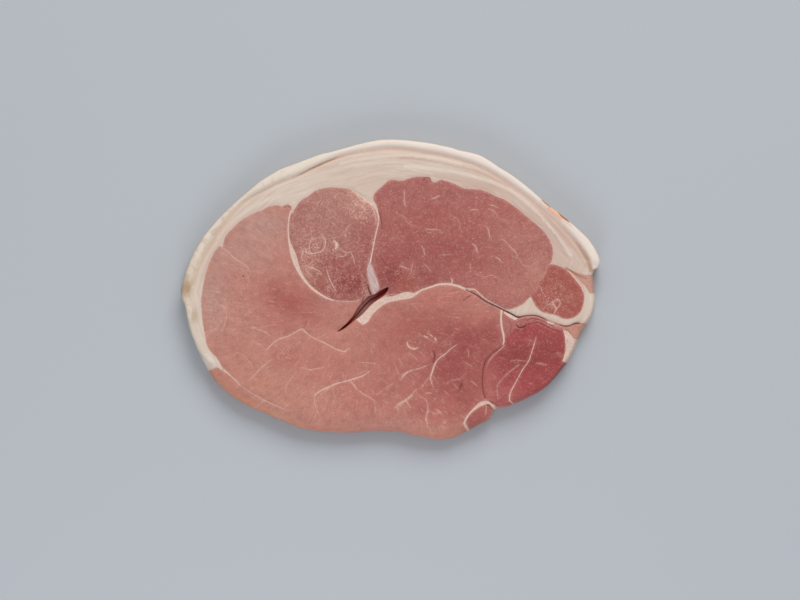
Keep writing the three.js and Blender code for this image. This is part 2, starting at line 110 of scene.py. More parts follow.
FAT_RING_IN = [  # the inner side of all the fat, left end to right end
    (-92.2, -41.2), (-90.1, -38.8), (-88.7, -37.4), (-86.9, -38.5), (-84.4, -40.3), (-81.9, -41.2), (-84.2, -38.5),
    (-85.4, -36.2), (-86.9, -34), (-88.9, -31.8), (-90.4, -29.8), (-91.6, -27.2), (-92, -24.4), (-92.8, -20.9),
    (-93.5, -16.4), (-93.9, -11.4), (-94.2, -6.5), (-93.9, -2.6), (-93.3, 1.4), (-92.5, 5.4), (-91.5, 9.4),
    (-90.2, 13.1), (-88.6, 16.5), (-86.9, 19.6), (-85.1, 21.2), (-83.6, 20.8), (-83.1, 23), (-82.4, 25.5),
    (-80.9, 27.9), (-78.9, 30), (-76.9, 32), (-74.7, 34), (-71.9, 35.8), (-68.9, 37.5), (-65.9, 38.7), (-63.4, 39.5),
    (-61.4, 40.8), (-59.2, 41.5), (-56.4, 41.8), (-53.9, 41.3), (-52.7, 41.9), (-50.9, 42.3), (-49.4, 41.5),
    (-49.1, 40), (-49.8, 38), (-48.7, 37.8), (-46.9, 41), (-45.3, 43.2), (-42.9, 45.2), (-40.9, 46.1), (-39.4, 47.5),
    (-36.9, 49.2), (-33.9, 50.2), (-29.9, 50.7), (-24.9, 50.6), (-20.9, 50.1), (-18.4, 48.9), (-15.9, 47.2),
    (-13.4, 45.6), (-10.9, 44.2), (-8.4, 42.8), (-8.2, 45.5), (-7.8, 47.5), (-6.4, 49.2), (-4.4, 50.9), (-2.9, 52.2),
    (-1.4, 53.7), (0.3, 54.5), (2.6, 54.6), (5.1, 54.2), (7.1, 54.3), (9.1, 55.2), (12.1, 56), (15.1, 56.2),
    (17.6, 56), (19.8, 55.6), (20.9, 54), (21.9, 53.4), (23.8, 53.8), (25.7, 54.5), (28, 54), (30.9, 53.1),
    (33.4, 52), (35.4, 51), (38, 50.2), (41.5, 50), (45, 49.8), (48.4, 48.8), (51.4, 47.3), (53.9, 45.9),
    (56.9, 44.8), (59.3, 43.3), (61.8, 41.7), (64.8, 39.3), (67.8, 36.8), (70.8, 34.3), (73.8, 31.8), (76.2, 29.4),
    (78.2, 27), (79.9, 24.3), (81, 21.4), (81.5, 18.5), (81.2, 15.6), (80.7, 13.5), (79.6, 12.3), (82.6, 12.2),
    (85.1, 11.4), (87.6, 10.2), (89.8, 8.7), (91.8, 6.5), (93.8, 4.2), (95.6, 1.8), (96.8, -0.8), (97.2, -3.8),
    (96.9, -7), (96.1, -9.8), (94.7, -12.2), (92.6, -14), (89.6, -15), (86.6, -14.8), (83.8, -13.5), (80.6, -12.5),
    (77.6, -12), (75.1, -10.8), (73.1, -8.9), (71.6, -6), (70.3, -3.8), (68.8, -5.3), (67.1, -7), (64.6, -8.6),
    (61.1, -9.9), (57.6, -10.3), (57.6, -10.7), (61.1, -12.3), (63.6, -13.8), (67.1, -13.1), (70.1, -12.9),
    (73.1, -13), (76.1, -13.8), (79.1, -15.3), (82.6, -16.5), (86.1, -17.8), (89.6, -17.9), (93.1, -17),
    (97.1, -16.8), (101.1, -13.5),
]

FAT_RING_OUT = [(135, -20), (135, 30), (110, 90), (0, 130), (-110, 90), (-135, 0), (-130, -60)]  # and round outside the slice

FAT_LINES = [  # wavy lines in the fat: x, y, half width; tone from -1, pink-grey, to 1, light
    ([(5.1, 65.2, 0.45), (9.6, 65.4, 0.45), (16.6, 64.5, 0.45), (23.6, 63.3, 0.45), (31.1, 61.6, 0.45), (38.1, 60.1, 0.45), (45.3, 58, 0.45), (52.6, 54.8, 0.45), (59.6, 51.5, 0.45), (66.8, 46.8, 0.45), (74.1, 40.3, 0.45), (81.1, 32.8, 0.45), (88.3, 25, 0.45), (94.1, 17.8, 0.45), (97.9, 11.2, 0.45)], -0.75),
    ([(7.6, 61.2, 0.75), (16.1, 60.5, 0.75), (23.8, 59.7, 0.75), (31.1, 58.6, 0.75), (38.1, 57.2, 0.75), (45.1, 55.2, 0.75), (52.6, 52.9, 0.75), (61.8, 48.3, 0.75), (70.4, 41.4, 0.75), (77.6, 33.6, 0.75), (84.7, 25, 0.75), (90.5, 17.1, 0.75)], 0.7),
    ([(22.3, 56.7, 0.95), (29.1, 56, 0.95), (35.1, 53.8, 0.95), (45.1, 52, 0.95), (56.1, 48.5, 0.95), (61.6, 45, 0.95)], -0.45),
    ([(-44.9, 54.3, 0.5), (-34.9, 57.5, 0.5), (-22.4, 61, 0.5), (-9.9, 62.8, 0.5), (2.6, 63.3, 0.5)], 0.5),
    ([(-24.9, 62.7, 0.6), (-14.9, 64.8, 0.6), (-4.9, 66, 0.6), (5.1, 66.8, 0.6), (15.1, 66.1, 0.6), (25.1, 64.8, 0.6), (35.1, 62.2, 0.6)], 0.65),
    ([(73.1, 37.5, 0.4), (79.1, 30.8, 0.4), (84.6, 23, 0.4), (88.1, 15.5, 0.4)], -0.5),
    ([(-85.9, 25.5, 0.55), (-81.9, 30.2, 0.55), (-76.9, 35, 0.55), (-70.9, 39.3, 0.55), (-63.9, 43.3, 0.55), (-54.9, 46.5, 0.55)], 0.5),
    ([(-96.4, 2, 0.5), (-95.1, 8.5, 0.5), (-92.9, 13.5, 0.5), (-90.1, 18.2, 0.5), (-86.7, 23, 0.5)], 0.4),
    ([(86.6, 13.5, 0.4), (91.6, 10.3, 0.4), (95.6, 8, 0.4)], -0.5),
]

SEAMS = [  # connective tissue between and in the muscles: x, y, half width; strength
    ([(-49.4, 39, 0.4), (-50.3, 35.5, 0.36), (-50.7, 31.5, 0.36), (-50.7, 27.5, 0.36), (-50.3, 24, 0.48), (-49.4, 20.8, 0.88), (-48.3, 17.2, 1.28), (-47.1, 13.5, 1.32), (-45.9, 10.2, 1.04), (-44.1, 6.8, 0.8), (-42.1, 3.9, 0.68), (-39.8, 1.3, 0.6), (-37.3, -0.9, 0.56), (-34.6, -2.7, 0.52), (-31.7, -4.4, 0.44), (-28.4, -5.5, 0.32)], 1),
    ([(-28.4, -5.5, 0.32), (-24.4, -6.1, 0.32), (-19.9, -6.3, 0.32), (-16.4, -5.8, 0.29), (-13.9, -4.5, 0.22)], 0.55),
    ([(-18.9, 49.2, 0.2), (-15.9, 47.3, 0.4), (-12.9, 45.5, 0.88), (-9.9, 44, 1.36), (-7.8, 42, 1.04), (-6.4, 39, 0.52), (-5.6, 35.5, 0.4), (-5.8, 32.5, 0.32), (-6.5, 29.5, 0.36), (-7.2, 26.5, 0.32), (-7.9, 23, 0.32), (-8.6, 19.5, 0.28), (-9.3, 16, 0.32), (-9.8, 13, 0.48)], 0.95),
    ([(7.1, -4, 0.96), (10.1, -3.7, 0.96), (13.1, -2.3, 0.68), (15.3, -0.8, 0.48), (18.1, 0.2, 0.48), (21.1, 1.2, 0.48), (24.1, 2.2, 0.52), (28.1, 2.5, 0.56), (31.1, 2.2, 0.6), (34.1, 1.5, 0.56), (37.1, 0.3, 0.52), (40.1, -0.8, 0.48)], 1),
    ([(30.6, 2.3, 0.43), (31.3, 4, 0.32), (30.8, 5.3, 0.14)], 0.8),
    ([(39.1, 0.2, 0.36), (42.6, -0.4, 0.43), (44.6, -2.2, 0.32), (47.6, -4.8, 0.29), (51.1, -6.9, 0.29), (54.6, -8.7, 0.29), (57.6, -10.4, 0.43)], 0.8),
    ([(55.9, -10.7, 0.6), (55.6, -13.5, 0.48), (55.7, -16.5, 0.48), (56, -19.5, 0.48), (56.7, -22.5, 0.48), (57, -25.5, 0.44), (56.6, -28, 0.28)], 0.95),
    ([(57.6, -28, 0.32), (54.8, -30.5, 0.32), (51.8, -33.3, 0.29), (49.6, -36, 0.25), (48.4, -39, 0.14)], 0.5),
    ([(73.1, -24, 0.14), (72.3, -27, 0.22), (71.4, -30, 0.25), (70.4, -33, 0.25), (69.3, -36, 0.25), (67.6, -38.5, 0.25), (65.9, -41, 0.25), (64.6, -43.5, 0.25), (63.3, -46, 0.25), (61.9, -48.5, 0.29), (60.6, -51, 0.32), (59.9, -53.5, 0.36), (59.8, -56.7, 0.43)], 0.8),
    ([(64.6, -37.8, 0.29), (61.6, -40, 0.4), (59.1, -42, 0.4), (56.6, -44.5, 0.4), (54.6, -47, 0.4), (53.6, -50, 0.32), (53.9, -53, 0.29), (54.2, -55.5, 0.22)], 0.35),
    ([(60.6, -36, 0.18), (63.1, -35.5, 0.22), (65.6, -35.8, 0.22), (68.6, -36, 0.14)], 0.4),
    ([(73.1, -37, 0.18), (75.6, -37.4, 0.25), (78.3, -37.7, 0.14)], 0.6),
    ([(34.3, -72, 0.64), (35.9, -69.5, 0.56), (37.3, -66.7, 0.48), (38.8, -63.8, 0.44), (40.6, -61.5, 0.48), (42.9, -59.4, 0.68), (45.1, -57.7, 0.96), (47.6, -56.7, 0.92), (49.8, -57.1, 0.6), (51.3, -58.8, 0.44), (51.8, -61, 0.32)], 0.95),
    ([(48.1, -57.5, 0.29), (48.1, -60, 0.22), (47.9, -63, 0.18)], 0.6),
    ([(49.6, -57, 0.43), (52.1, -58.3, 0.4), (55.1, -59.2, 0.43), (58.1, -58.8, 0.32)], 0.7),
    ([(-82.9, -40.5, 0.6), (-79.9, -43, 0.32), (-77.4, -45.3, 0.28), (-74.7, -47.8, 0.12)], 0.9),
    ([(-62.4, -31, 0.11), (-59.9, -28.6, 0.22), (-57.4, -26.2, 0.25), (-54.4, -24.6, 0.29), (-51.4, -23.8, 0.25), (-48.4, -22.3, 0.22), (-45.9, -20.9, 0.25), (-43.9, -20, 0.29), (-42.2, -21.4, 0.29), (-39.9, -23.3, 0.25), (-36.9, -25, 0.25), (-33.9, -26.3, 0.25), (-30.9, -27.8, 0.29), (-27.9, -29.5, 0.29), (-24.9, -30.7, 0.36), (-22.6, -31.2, 0.32), (-20.2, -29.5, 0.14)], 0.72),
    ([(-43.9, -20, 0.22), (-42.9, -18.3, 0.18), (-42.1, -16, 0.11)], 0.35),
    ([(-83.9, 20.9, 0.32), (-81.9, 19.5, 0.22), (-79.9, 17.8, 0.22), (-77.7, 15.5, 0.29), (-75.4, 13.8, 0.29), (-72.9, 12.6, 0.25), (-71.1, 11, 0.22), (-69.9, 9, 0.14)], 0.62),
    ([(-69.9, 9, 0.14), (-66.9, 8.8, 0.18), (-63.9, 9.2, 0.14), (-60.9, 9.7, 0.11)], 0.35),
    ([(-68.7, -18.3, 0.14), (-66.4, -20.1, 0.25), (-63.9, -20.6, 0.25), (-61.9, -21.7, 0.29), (-60.2, -23.3, 0.14)], 0.55),
    ([(-83.1, -4.5, 0.18), (-82.1, -6.8, 0.22), (-81.2, -9, 0.14)], 0.4),
    ([(-87.9, -8.2, 0.11), (-85.4, -7.8, 0.18), (-82.9, -6.8, 0.14)], 0.35),
    ([(-82.9, -10, 0.14), (-83.9, -12.5, 0.18), (-84.2, -15.5, 0.11)], 0.3),
    ([(-91.9, -22.3, 0.14), (-89.4, -20.7, 0.18), (-86.9, -19.8, 0.11)], 0.4),
    ([(-61.9, 13.5, 0.11), (-59.4, 11.7, 0.14), (-56.9, 11, 0.11)], 0.3),
    ([(-45.1, -38.7, 0.14), (-42.9, -39.4, 0.25), (-40.4, -40.2, 0.25), (-37.9, -40.1, 0.29), (-35.4, -39.5, 0.22), (-32.7, -39.2, 0.14)], 0.55),
    ([(-35.9, -54.8, 0.14), (-34.1, -52.4, 0.22), (-32.4, -50.8, 0.29), (-30.2, -49.3, 0.29), (-27.6, -47.7, 0.18)], 0.5),
    ([(-25.9, -47.2, 0.14), (-23.4, -46.1, 0.25), (-21.2, -45.5, 0.14)], 0.5),
    ([(-19.6, -45.2, 0.25), (-19, -47, 0.25), (-17.6, -49, 0.18), (-15.4, -51, 0.18), (-13.4, -52, 0.11)], 0.5),
    ([(-17.4, -43, 0.14), (-14.4, -41.7, 0.18), (-11.4, -41, 0.25), (-10.4, -42.5, 0.18), (-10.4, -44.5, 0.14)], 0.45),
    ([(-14.9, -36.5, 0.18), (-11.9, -36.8, 0.25), (-9.4, -37, 0.25), (-7.1, -37.2, 0.29)], 0.5),
    ([(-6.6, -52.8, 0.29), (-4.4, -51.4, 0.18), (-1.9, -49.5, 0.18), (0.1, -48, 0.22), (1.8, -47.3, 0.18)], 0.5),
    ([(-5.9, -45.8, 0.22), (-3.9, -44.4, 0.22)], 0.45),
    ([(3.9, -60.3, 0.32), (4.4, -58.8, 0.25), (6.1, -57.2, 0.25), (7.9, -55.9, 0.47), (9.9, -54.4, 0.29), (12.1, -52.8, 0.14)], 0.6),
    ([(7.9, -55.9, 0.36), (9.4, -57.5, 0.25), (10.6, -59, 0.14)], 0.5),
    ([(5.6, -45, 0.14), (6.7, -43, 0.25), (8.6, -41.3, 0.22), (10.9, -40.5, 0.22), (13.1, -40, 0.25), (15.6, -39.3, 0.22), (18.4, -38.3, 0.18), (20.4, -37.3, 0.11)], 0.5),
    ([(33.6, -27.7, 0.11), (30.6, -29.7, 0.18), (28.6, -31.7, 0.25), (25.8, -33.8, 0.29), (23.6, -35.7, 0.32), (22.3, -38, 0.4), (21.4, -40.7, 0.4), (20.5, -43.5, 0.4), (20.4, -45.3, 0.32), (21.3, -47.8, 0.18)], 0.8),
    ([(20.1, -44, 0.25), (18.3, -45.8, 0.25), (16.8, -47.8, 0.32), (15.6, -49.5, 0.18)], 0.5),
    ([(24.6, -28, 0.11), (27.6, -25.7, 0.18), (30.6, -23.3, 0.18), (32.9, -21.5, 0.11)], 0.35),
    ([(17.1, -23.3, 0.22), (18.3, -24, 0.43), (19.1, -24, 0.22)], 0.6),
    ([(8.7, -26.3, 0.25), (9, -28, 0.47), (10.4, -29.3, 0.58), (12.4, -29.9, 0.54), (14.1, -29.2, 0.22)], 0.7),
    ([(14.8, -27.9, 0.22), (15.5, -26.3, 0.22), (15.4, -24.8, 0.11)], 0.3),
    ([(1.1, -65.3, 0.11), (3.1, -63.5, 0.18), (4.6, -61.8, 0.18), (5.6, -60, 0.11)], 0.35),
    ([(19.4, -60.8, 0.36), (18.6, -63, 0.32), (17.9, -65.5, 0.22), (18.9, -68.2, 0.22), (21.1, -70.5, 0.14)], 0.55),
    ([(10.6, -7, 0.14), (12.1, -8.5, 0.18), (13.8, -10.2, 0.18), (15.1, -12, 0.11)], 0.3),
    ([(38.8, -30, 0.18), (39.4, -32, 0.25), (39.3, -34, 0.14)], 0.5),
    ([(4.8, -34.5, 0.18), (5.3, -36.5, 0.22)], 0.35),
    ([(-37.6, -61.5, 0.22), (-38.2, -58.5, 0.25), (-36.9, -56, 0.18), (-35.1, -54, 0.14)], 0.4),
    ([(26.4, -55, 0.25), (26.8, -56.8, 0.18)], 0.4),
    ([(18.1, -52.2, 0.22), (19.6, -51.8, 0.29), (20.9, -52.2, 0.14)], 0.5),
    ([(-63.9, -55.8, 0.18), (-61.9, -57.7, 0.32), (-59.9, -59.3, 0.18)], 0.6),
    ([(-55.9, -62.8, 0.25), (-53.4, -64.3, 0.4), (-50.9, -66.5, 0.29)], 0.8),
    ([(7.1, 49.3, 0.22), (7.3, 46.5, 0.32), (7.1, 44, 0.29), (8.1, 41.2, 0.18)], 0.55),
    ([(21.1, 45.3, 0.22), (22.9, 45.7, 0.29), (24.9, 46.8, 0.18)], 0.65),
    ([(17.6, 30.2, 0.14), (20.1, 29.6, 0.25), (23.1, 29.8, 0.22), (25.6, 29, 0.18)], 0.55),
    ([(48.4, 31.5, 0.18), (49.4, 29, 0.32), (49.8, 25.7, 0.18)], 0.6),
    ([(40.1, 39.3, 0.22), (42.1, 39.8, 0.29), (44.1, 39.6, 0.18)], 0.6),
    ([(50.1, 42, 0.22), (52.1, 41.6, 0.29), (54.1, 40.7, 0.18)], 0.6),
    ([(41.4, 22.7, 0.25), (42.9, 21.2, 0.32), (43.8, 18.7, 0.22)], 0.65),
    ([(53.1, 15.8, 0.29), (54.6, 15, 0.29), (55.8, 13.5, 0.18)], 0.65),
    ([(59.1, 22.7, 0.14), (60.6, 20.7, 0.25), (62.6, 18.7, 0.25), (63.8, 16.5, 0.14)], 0.55),
    ([(15.9, 21.5, 0.22), (17, 19.5, 0.29), (17.3, 17, 0.18)], 0.6),
    ([(5.1, 11.7, 0.18), (7.1, 10.9, 0.29), (9.6, 9.8, 0.18)], 0.6),
    ([(11.4, 13.5, 0.18), (10.9, 10.5, 0.22), (10.6, 7.5, 0.18)], 0.45),
    ([(17.1, 12.5, 0.18), (19.1, 10.6, 0.22), (20.6, 9, 0.14)], 0.5),
    ([(24.6, 16.7, 0.14), (27.6, 17.2, 0.22), (30.6, 17.1, 0.14)], 0.5),
    ([(40.1, 12.7, 0.29), (40.4, 10, 0.22)], 0.55),
    ([(55.1, 25.5, 0.14), (57.1, 24.3, 0.22), (58.6, 22.5, 0.14)], 0.55),
    ([(35.6, 51.2, 0.22), (38.6, 50.7, 0.32), (42.1, 50.5, 0.32), (45.6, 50.1, 0.32), (49.1, 49, 0.36), (52.1, 47.5, 0.22)], 0.7),
    ([(81.4, -6.5, 0.25), (82.4, -8.5, 0.32), (83.1, -10.3, 0.32), (82.2, -12, 0.29)], 0.75),
    ([(83.1, -10, 0.29), (84.8, -8.3, 0.22), (85.1, -6.2, 0.22), (83.6, -5, 0.22), (81.8, -6, 0.22)], 0.65),
    ([(82.4, -8.5, 0.22), (80.1, -7.5, 0.18), (78.4, -8.1, 0.18), (76.9, -10, 0.22)], 0.6),
    ([(74.4, 1.7, 0.18), (75.6, 0.5, 0.22), (76.1, -1.5, 0.18), (77.6, -3.3, 0.14)], 0.55),
    ([(89.4, 9.2, 0.36), (91.4, 6.8, 0.4), (93.6, 4.2, 0.44), (95.6, 1.5, 0.36), (96.8, -1.5, 0.32)], 0.9),
    ([(79.9, 12.5, 0.36), (78.4, 9.5, 0.58), (76.6, 6, 0.79), (74.6, 2.2, 0.79), (72.6, -1.2, 0.58), (70.4, -4, 0.36)], 0.12),
    ([(-84.9, -8, 0.18), (-82.9, -8.8, 0.25), (-81.9, -10.3, 0.22), (-81.4, -13, 0.22), (-82.4, -16.8, 0.18), (-83.7, -20.5, 0.14)], 0.55),
    ([(-92.4, -24.2, 0.22), (-89.9, -22, 0.22), (-87.4, -20.3, 0.22), (-85.4, -18.3, 0.18), (-83.7, -15.5, 0.14)], 0.55),
    ([(-88.9, -3.5, 0.14), (-86.4, -6, 0.18), (-84.9, -8, 0.18)], 0.45),
    ([(-69.9, -45.5, 0.18), (-67.4, -42.8, 0.25), (-64.4, -39.5, 0.25), (-61.4, -37, 0.22), (-58.7, -34.9, 0.14)], 0.6),
    ([(-37.4, -53, 0.24), (-34.9, -51, 0.32), (-32.4, -49.7, 0.28), (-29.9, -48.6, 0.36), (-27.4, -47.5, 0.32), (-23.9, -46.5, 0.28), (-19.9, -45.5, 0.36), (-16.4, -44.3, 0.28), (-13.4, -43.3, 0.24), (-9.9, -41, 0.16)], 0.85),
    ([(-19.9, -46, 0.29), (-17.9, -48, 0.29), (-16.2, -50.2, 0.25), (-13.4, -52.3, 0.22), (-9.9, -54.2, 0.22), (-7.4, -56, 0.14)], 0.7),
    ([(-37.4, -53, 0.22), (-37.6, -56, 0.22), (-36.9, -59.2, 0.18), (-35.9, -61.5, 0.18), (-34.9, -63.3, 0.14)], 0.6),
    ([(-75.9, -47.5, 0.14), (-71.4, -50.5, 0.22), (-66.9, -53.3, 0.25), (-62.4, -55.7, 0.29), (-57.9, -57.9, 0.29), (-53.4, -59.7, 0.22), (-48.9, -60.8, 0.14)], 0.6),
    ([(5.1, -45.5, 0.18), (7.1, -43.3, 0.25), (9.6, -41.3, 0.25), (12.1, -40.3, 0.22), (15.1, -39.8, 0.14)], 0.7),
    ([(2.6, -59.5, 0.22), (4.6, -57.3, 0.29), (7.1, -55.8, 0.29), (10.1, -53.5, 0.25), (13.1, -50.3, 0.18)], 0.72),
    ([(7.1, -55.8, 0.22), (9.1, -57, 0.22), (10.6, -59.5, 0.14)], 0.6),
    ([(-66.9, -26.5, 0.14), (-63.9, -28.5, 0.18), (-61.9, -31.5, 0.18), (-62.9, -34.5, 0.14)], 0.4),
    ([(-76.9, -31.5, 0.14), (-73.4, -33, 0.22), (-70.4, -36, 0.22), (-68.4, -39.5, 0.14)], 0.45),
    ([(-46.9, -41.5, 0.14), (-49.9, -45.5, 0.22), (-51.9, -49.5, 0.22), (-51.4, -53.5, 0.14)], 0.45),
    ([(-27.4, -47.5, 0.18), (-28.4, -51, 0.18), (-27.4, -54.5, 0.18), (-28.4, -58, 0.14)], 0.5),
    ([(15.1, -53.5, 0.18), (18.1, -55.5, 0.22), (19.1, -59, 0.22), (18.1, -63, 0.22), (19.1, -67.5, 0.14)], 0.55),
    ([(28.1, -47.5, 0.14), (31.1, -45.5, 0.22), (34.6, -45, 0.18), (37.6, -42.5, 0.14)], 0.45),
    ([(-74.9, 10.5, 0.14), (-71.9, 8.5, 0.18), (-70.4, 5, 0.18), (-71.4, 1.5, 0.14)], 0.45),
    ([(-63.9, 24.5, 0.14), (-60.9, 21.5, 0.22), (-59.9, 17.5, 0.18), (-57.4, 14, 0.14)], 0.4),
    ([(4.1, 37.5, 0.14), (7.1, 36, 0.22), (9.1, 33, 0.18), (12.6, 31.5, 0.14)], 0.45),
    ([(29.1, 37.5, 0.14), (32.6, 36, 0.18), (35.1, 33, 0.18), (34.6, 29.5, 0.14)], 0.45),
    ([(49.1, 40.5, 0.14), (52.6, 38.5, 0.22), (54.6, 35.5, 0.18), (58.6, 34, 0.14)], 0.45),
    ([(43.1, 7.5, 0.14), (47.1, 6, 0.22), (50.6, 7, 0.18), (54.6, 5, 0.14)], 0.45),
    ([(61.1, 16.5, 0.14), (64.6, 15, 0.22), (66.6, 12, 0.18), (70.6, 11, 0.14)], 0.45),
    ([(-33.6, 26.5, 0.22), (-32.2, 24, 0.25), (-32.4, 21.5, 0.25), (-33.7, 19.2, 0.25), (-36.4, 18.2, 0.25), (-39.9, 17.7, 0.25), (-42.4, 19, 0.18)], 0.77),
    ([(-39.4, 24.5, 0.18), (-40.2, 22, 0.22), (-40.1, 19.7, 0.22), (-39.4, 18, 0.18)], 0.72),
    ([(-39.1, 24.5, 0.14), (-37.1, 25.5, 0.18), (-34.6, 26, 0.18)], 0.57),
    ([(-44.4, 21, 0.18), (-43.4, 18.5, 0.29), (-44.2, 15.7, 0.25), (-43.1, 14, 0.18)], 0.67),
    ([(-42.4, 20.5, 0.18), (-41.6, 18.3, 0.22), (-42.6, 16, 0.18)], 0.67),
    ([(-27.6, 24, 0.36), (-26.4, 22.3, 0.76), (-27, 20.2, 0.4)], 0.92),
    ([(-26.4, 21.2, 0.22), (-24.1, 19.5, 0.18), (-21.4, 18.3, 0.22), (-19.4, 18.7, 0.18)], 0.62),
    ([(-25.4, 16.5, 0.18), (-23.4, 16.3, 0.29), (-21.4, 17.4, 0.18)], 0.72),
    ([(-20.1, 31.5, 0.18), (-21.7, 29.8, 0.22), (-22.4, 27.5, 0.22), (-21.6, 25.7, 0.14)], 0.62),
    ([(-19.6, 18.5, 0.18), (-18.4, 16, 0.25), (-17.6, 13.2, 0.18)], 0.67),
    ([(-42.1, 11.7, 0.18), (-39.9, 10.9, 0.29), (-37.4, 10, 0.25), (-34.9, 8.8, 0.18)], 0.72),
    ([(-31.4, 9.2, 0.22), (-30.6, 6.5, 0.25), (-29.4, 3.7, 0.29), (-28.1, 1.2, 0.25), (-26.9, -1, 0.22)], 0.72),
    ([(-41.9, 10.5, 0.18), (-40.6, 8.2, 0.22), (-38.9, 6.5, 0.18)], 0.62),
    ([(-28.4, -0.5, 0.22), (-30.1, 0.7, 0.14), (-31.6, 1.5, 0.11)], 0.57),
    ([(-16.9, 44, 0.18), (-15.4, 42.5, 0.22), (-13.4, 42, 0.22), (-11.9, 43, 0.18)], 0.72),
    ([(-16.4, 46.7, 0.22), (-14.4, 44.5, 0.25), (-11.9, 43.5, 0.32)], 0.82),
    ([(-21.4, 41.5, 0.14), (-19.4, 42.5, 0.18), (-17.6, 41.2, 0.18), (-18.4, 39.5, 0.14)], 0.57),
    ([(-9.9, 42, 0.29), (-8.1, 39.5, 0.25), (-7.1, 36.5, 0.22), (-6.9, 33.5, 0.14)], 0.72),
    ([(-29.4, 33.5, 0.14), (-27.6, 32.5, 0.18), (-26.4, 30.5, 0.14)], 0.52),
    ([(-35.6, 37.5, 0.14), (-34.1, 35.5, 0.18), (-34.9, 33, 0.14)], 0.52),
    ([(-14.9, 8.5, 0.14), (-13.4, 6, 0.18), (-11.9, 4.5, 0.14)], 0.52),
    ([(70.6, -16.4, 0.18), (74.6, -15.9, 0.22), (78.1, -17.5, 0.22), (81.1, -19.3, 0.14)], 0.4),
    ([(-60.9, 31.2, 0.11), (-56.9, 30.7, 0.14), (-52.9, 31.3, 0.11)], 0.25),
    ([(-59.9, 28.7, 0.11), (-55.9, 28.3, 0.14), (-51.9, 29, 0.11)], 0.25),
    ([(-63.9, -31.5, 0.11), (-66.9, -34, 0.14), (-69.4, -37, 0.11)], 0.3),
    ([(20.3, -23, 0.36), (21.3, -23.8, 0.25)], 0.7),
    ([(18.6, -22.3, 0.22), (19.6, -22.5, 0.18)], 0.5),
    ([(22.5, -24.6, 0.43), (23.3, -25.8, 0.29)], 0.7),
    ([(-8.9, -5.9, 0.18), (-4.9, -4.1, 0.22), (0.1, -2.8, 0.22), (4.6, -2.5, 0.14)], 0.5),
    ([(-53.4, 25, 0.11), (-54.4, 21.5, 0.14), (-53.4, 18, 0.11)], 0.25),
    ([(-74.9, 2.7, 0.11), (-71.4, 0.7, 0.14), (-67.9, 0, 0.11)], 0.25),
    ([(-54.4, -1, 0.11), (-50.9, -0.6, 0.18), (-46.9, -1.2, 0.11)], 0.25),
]

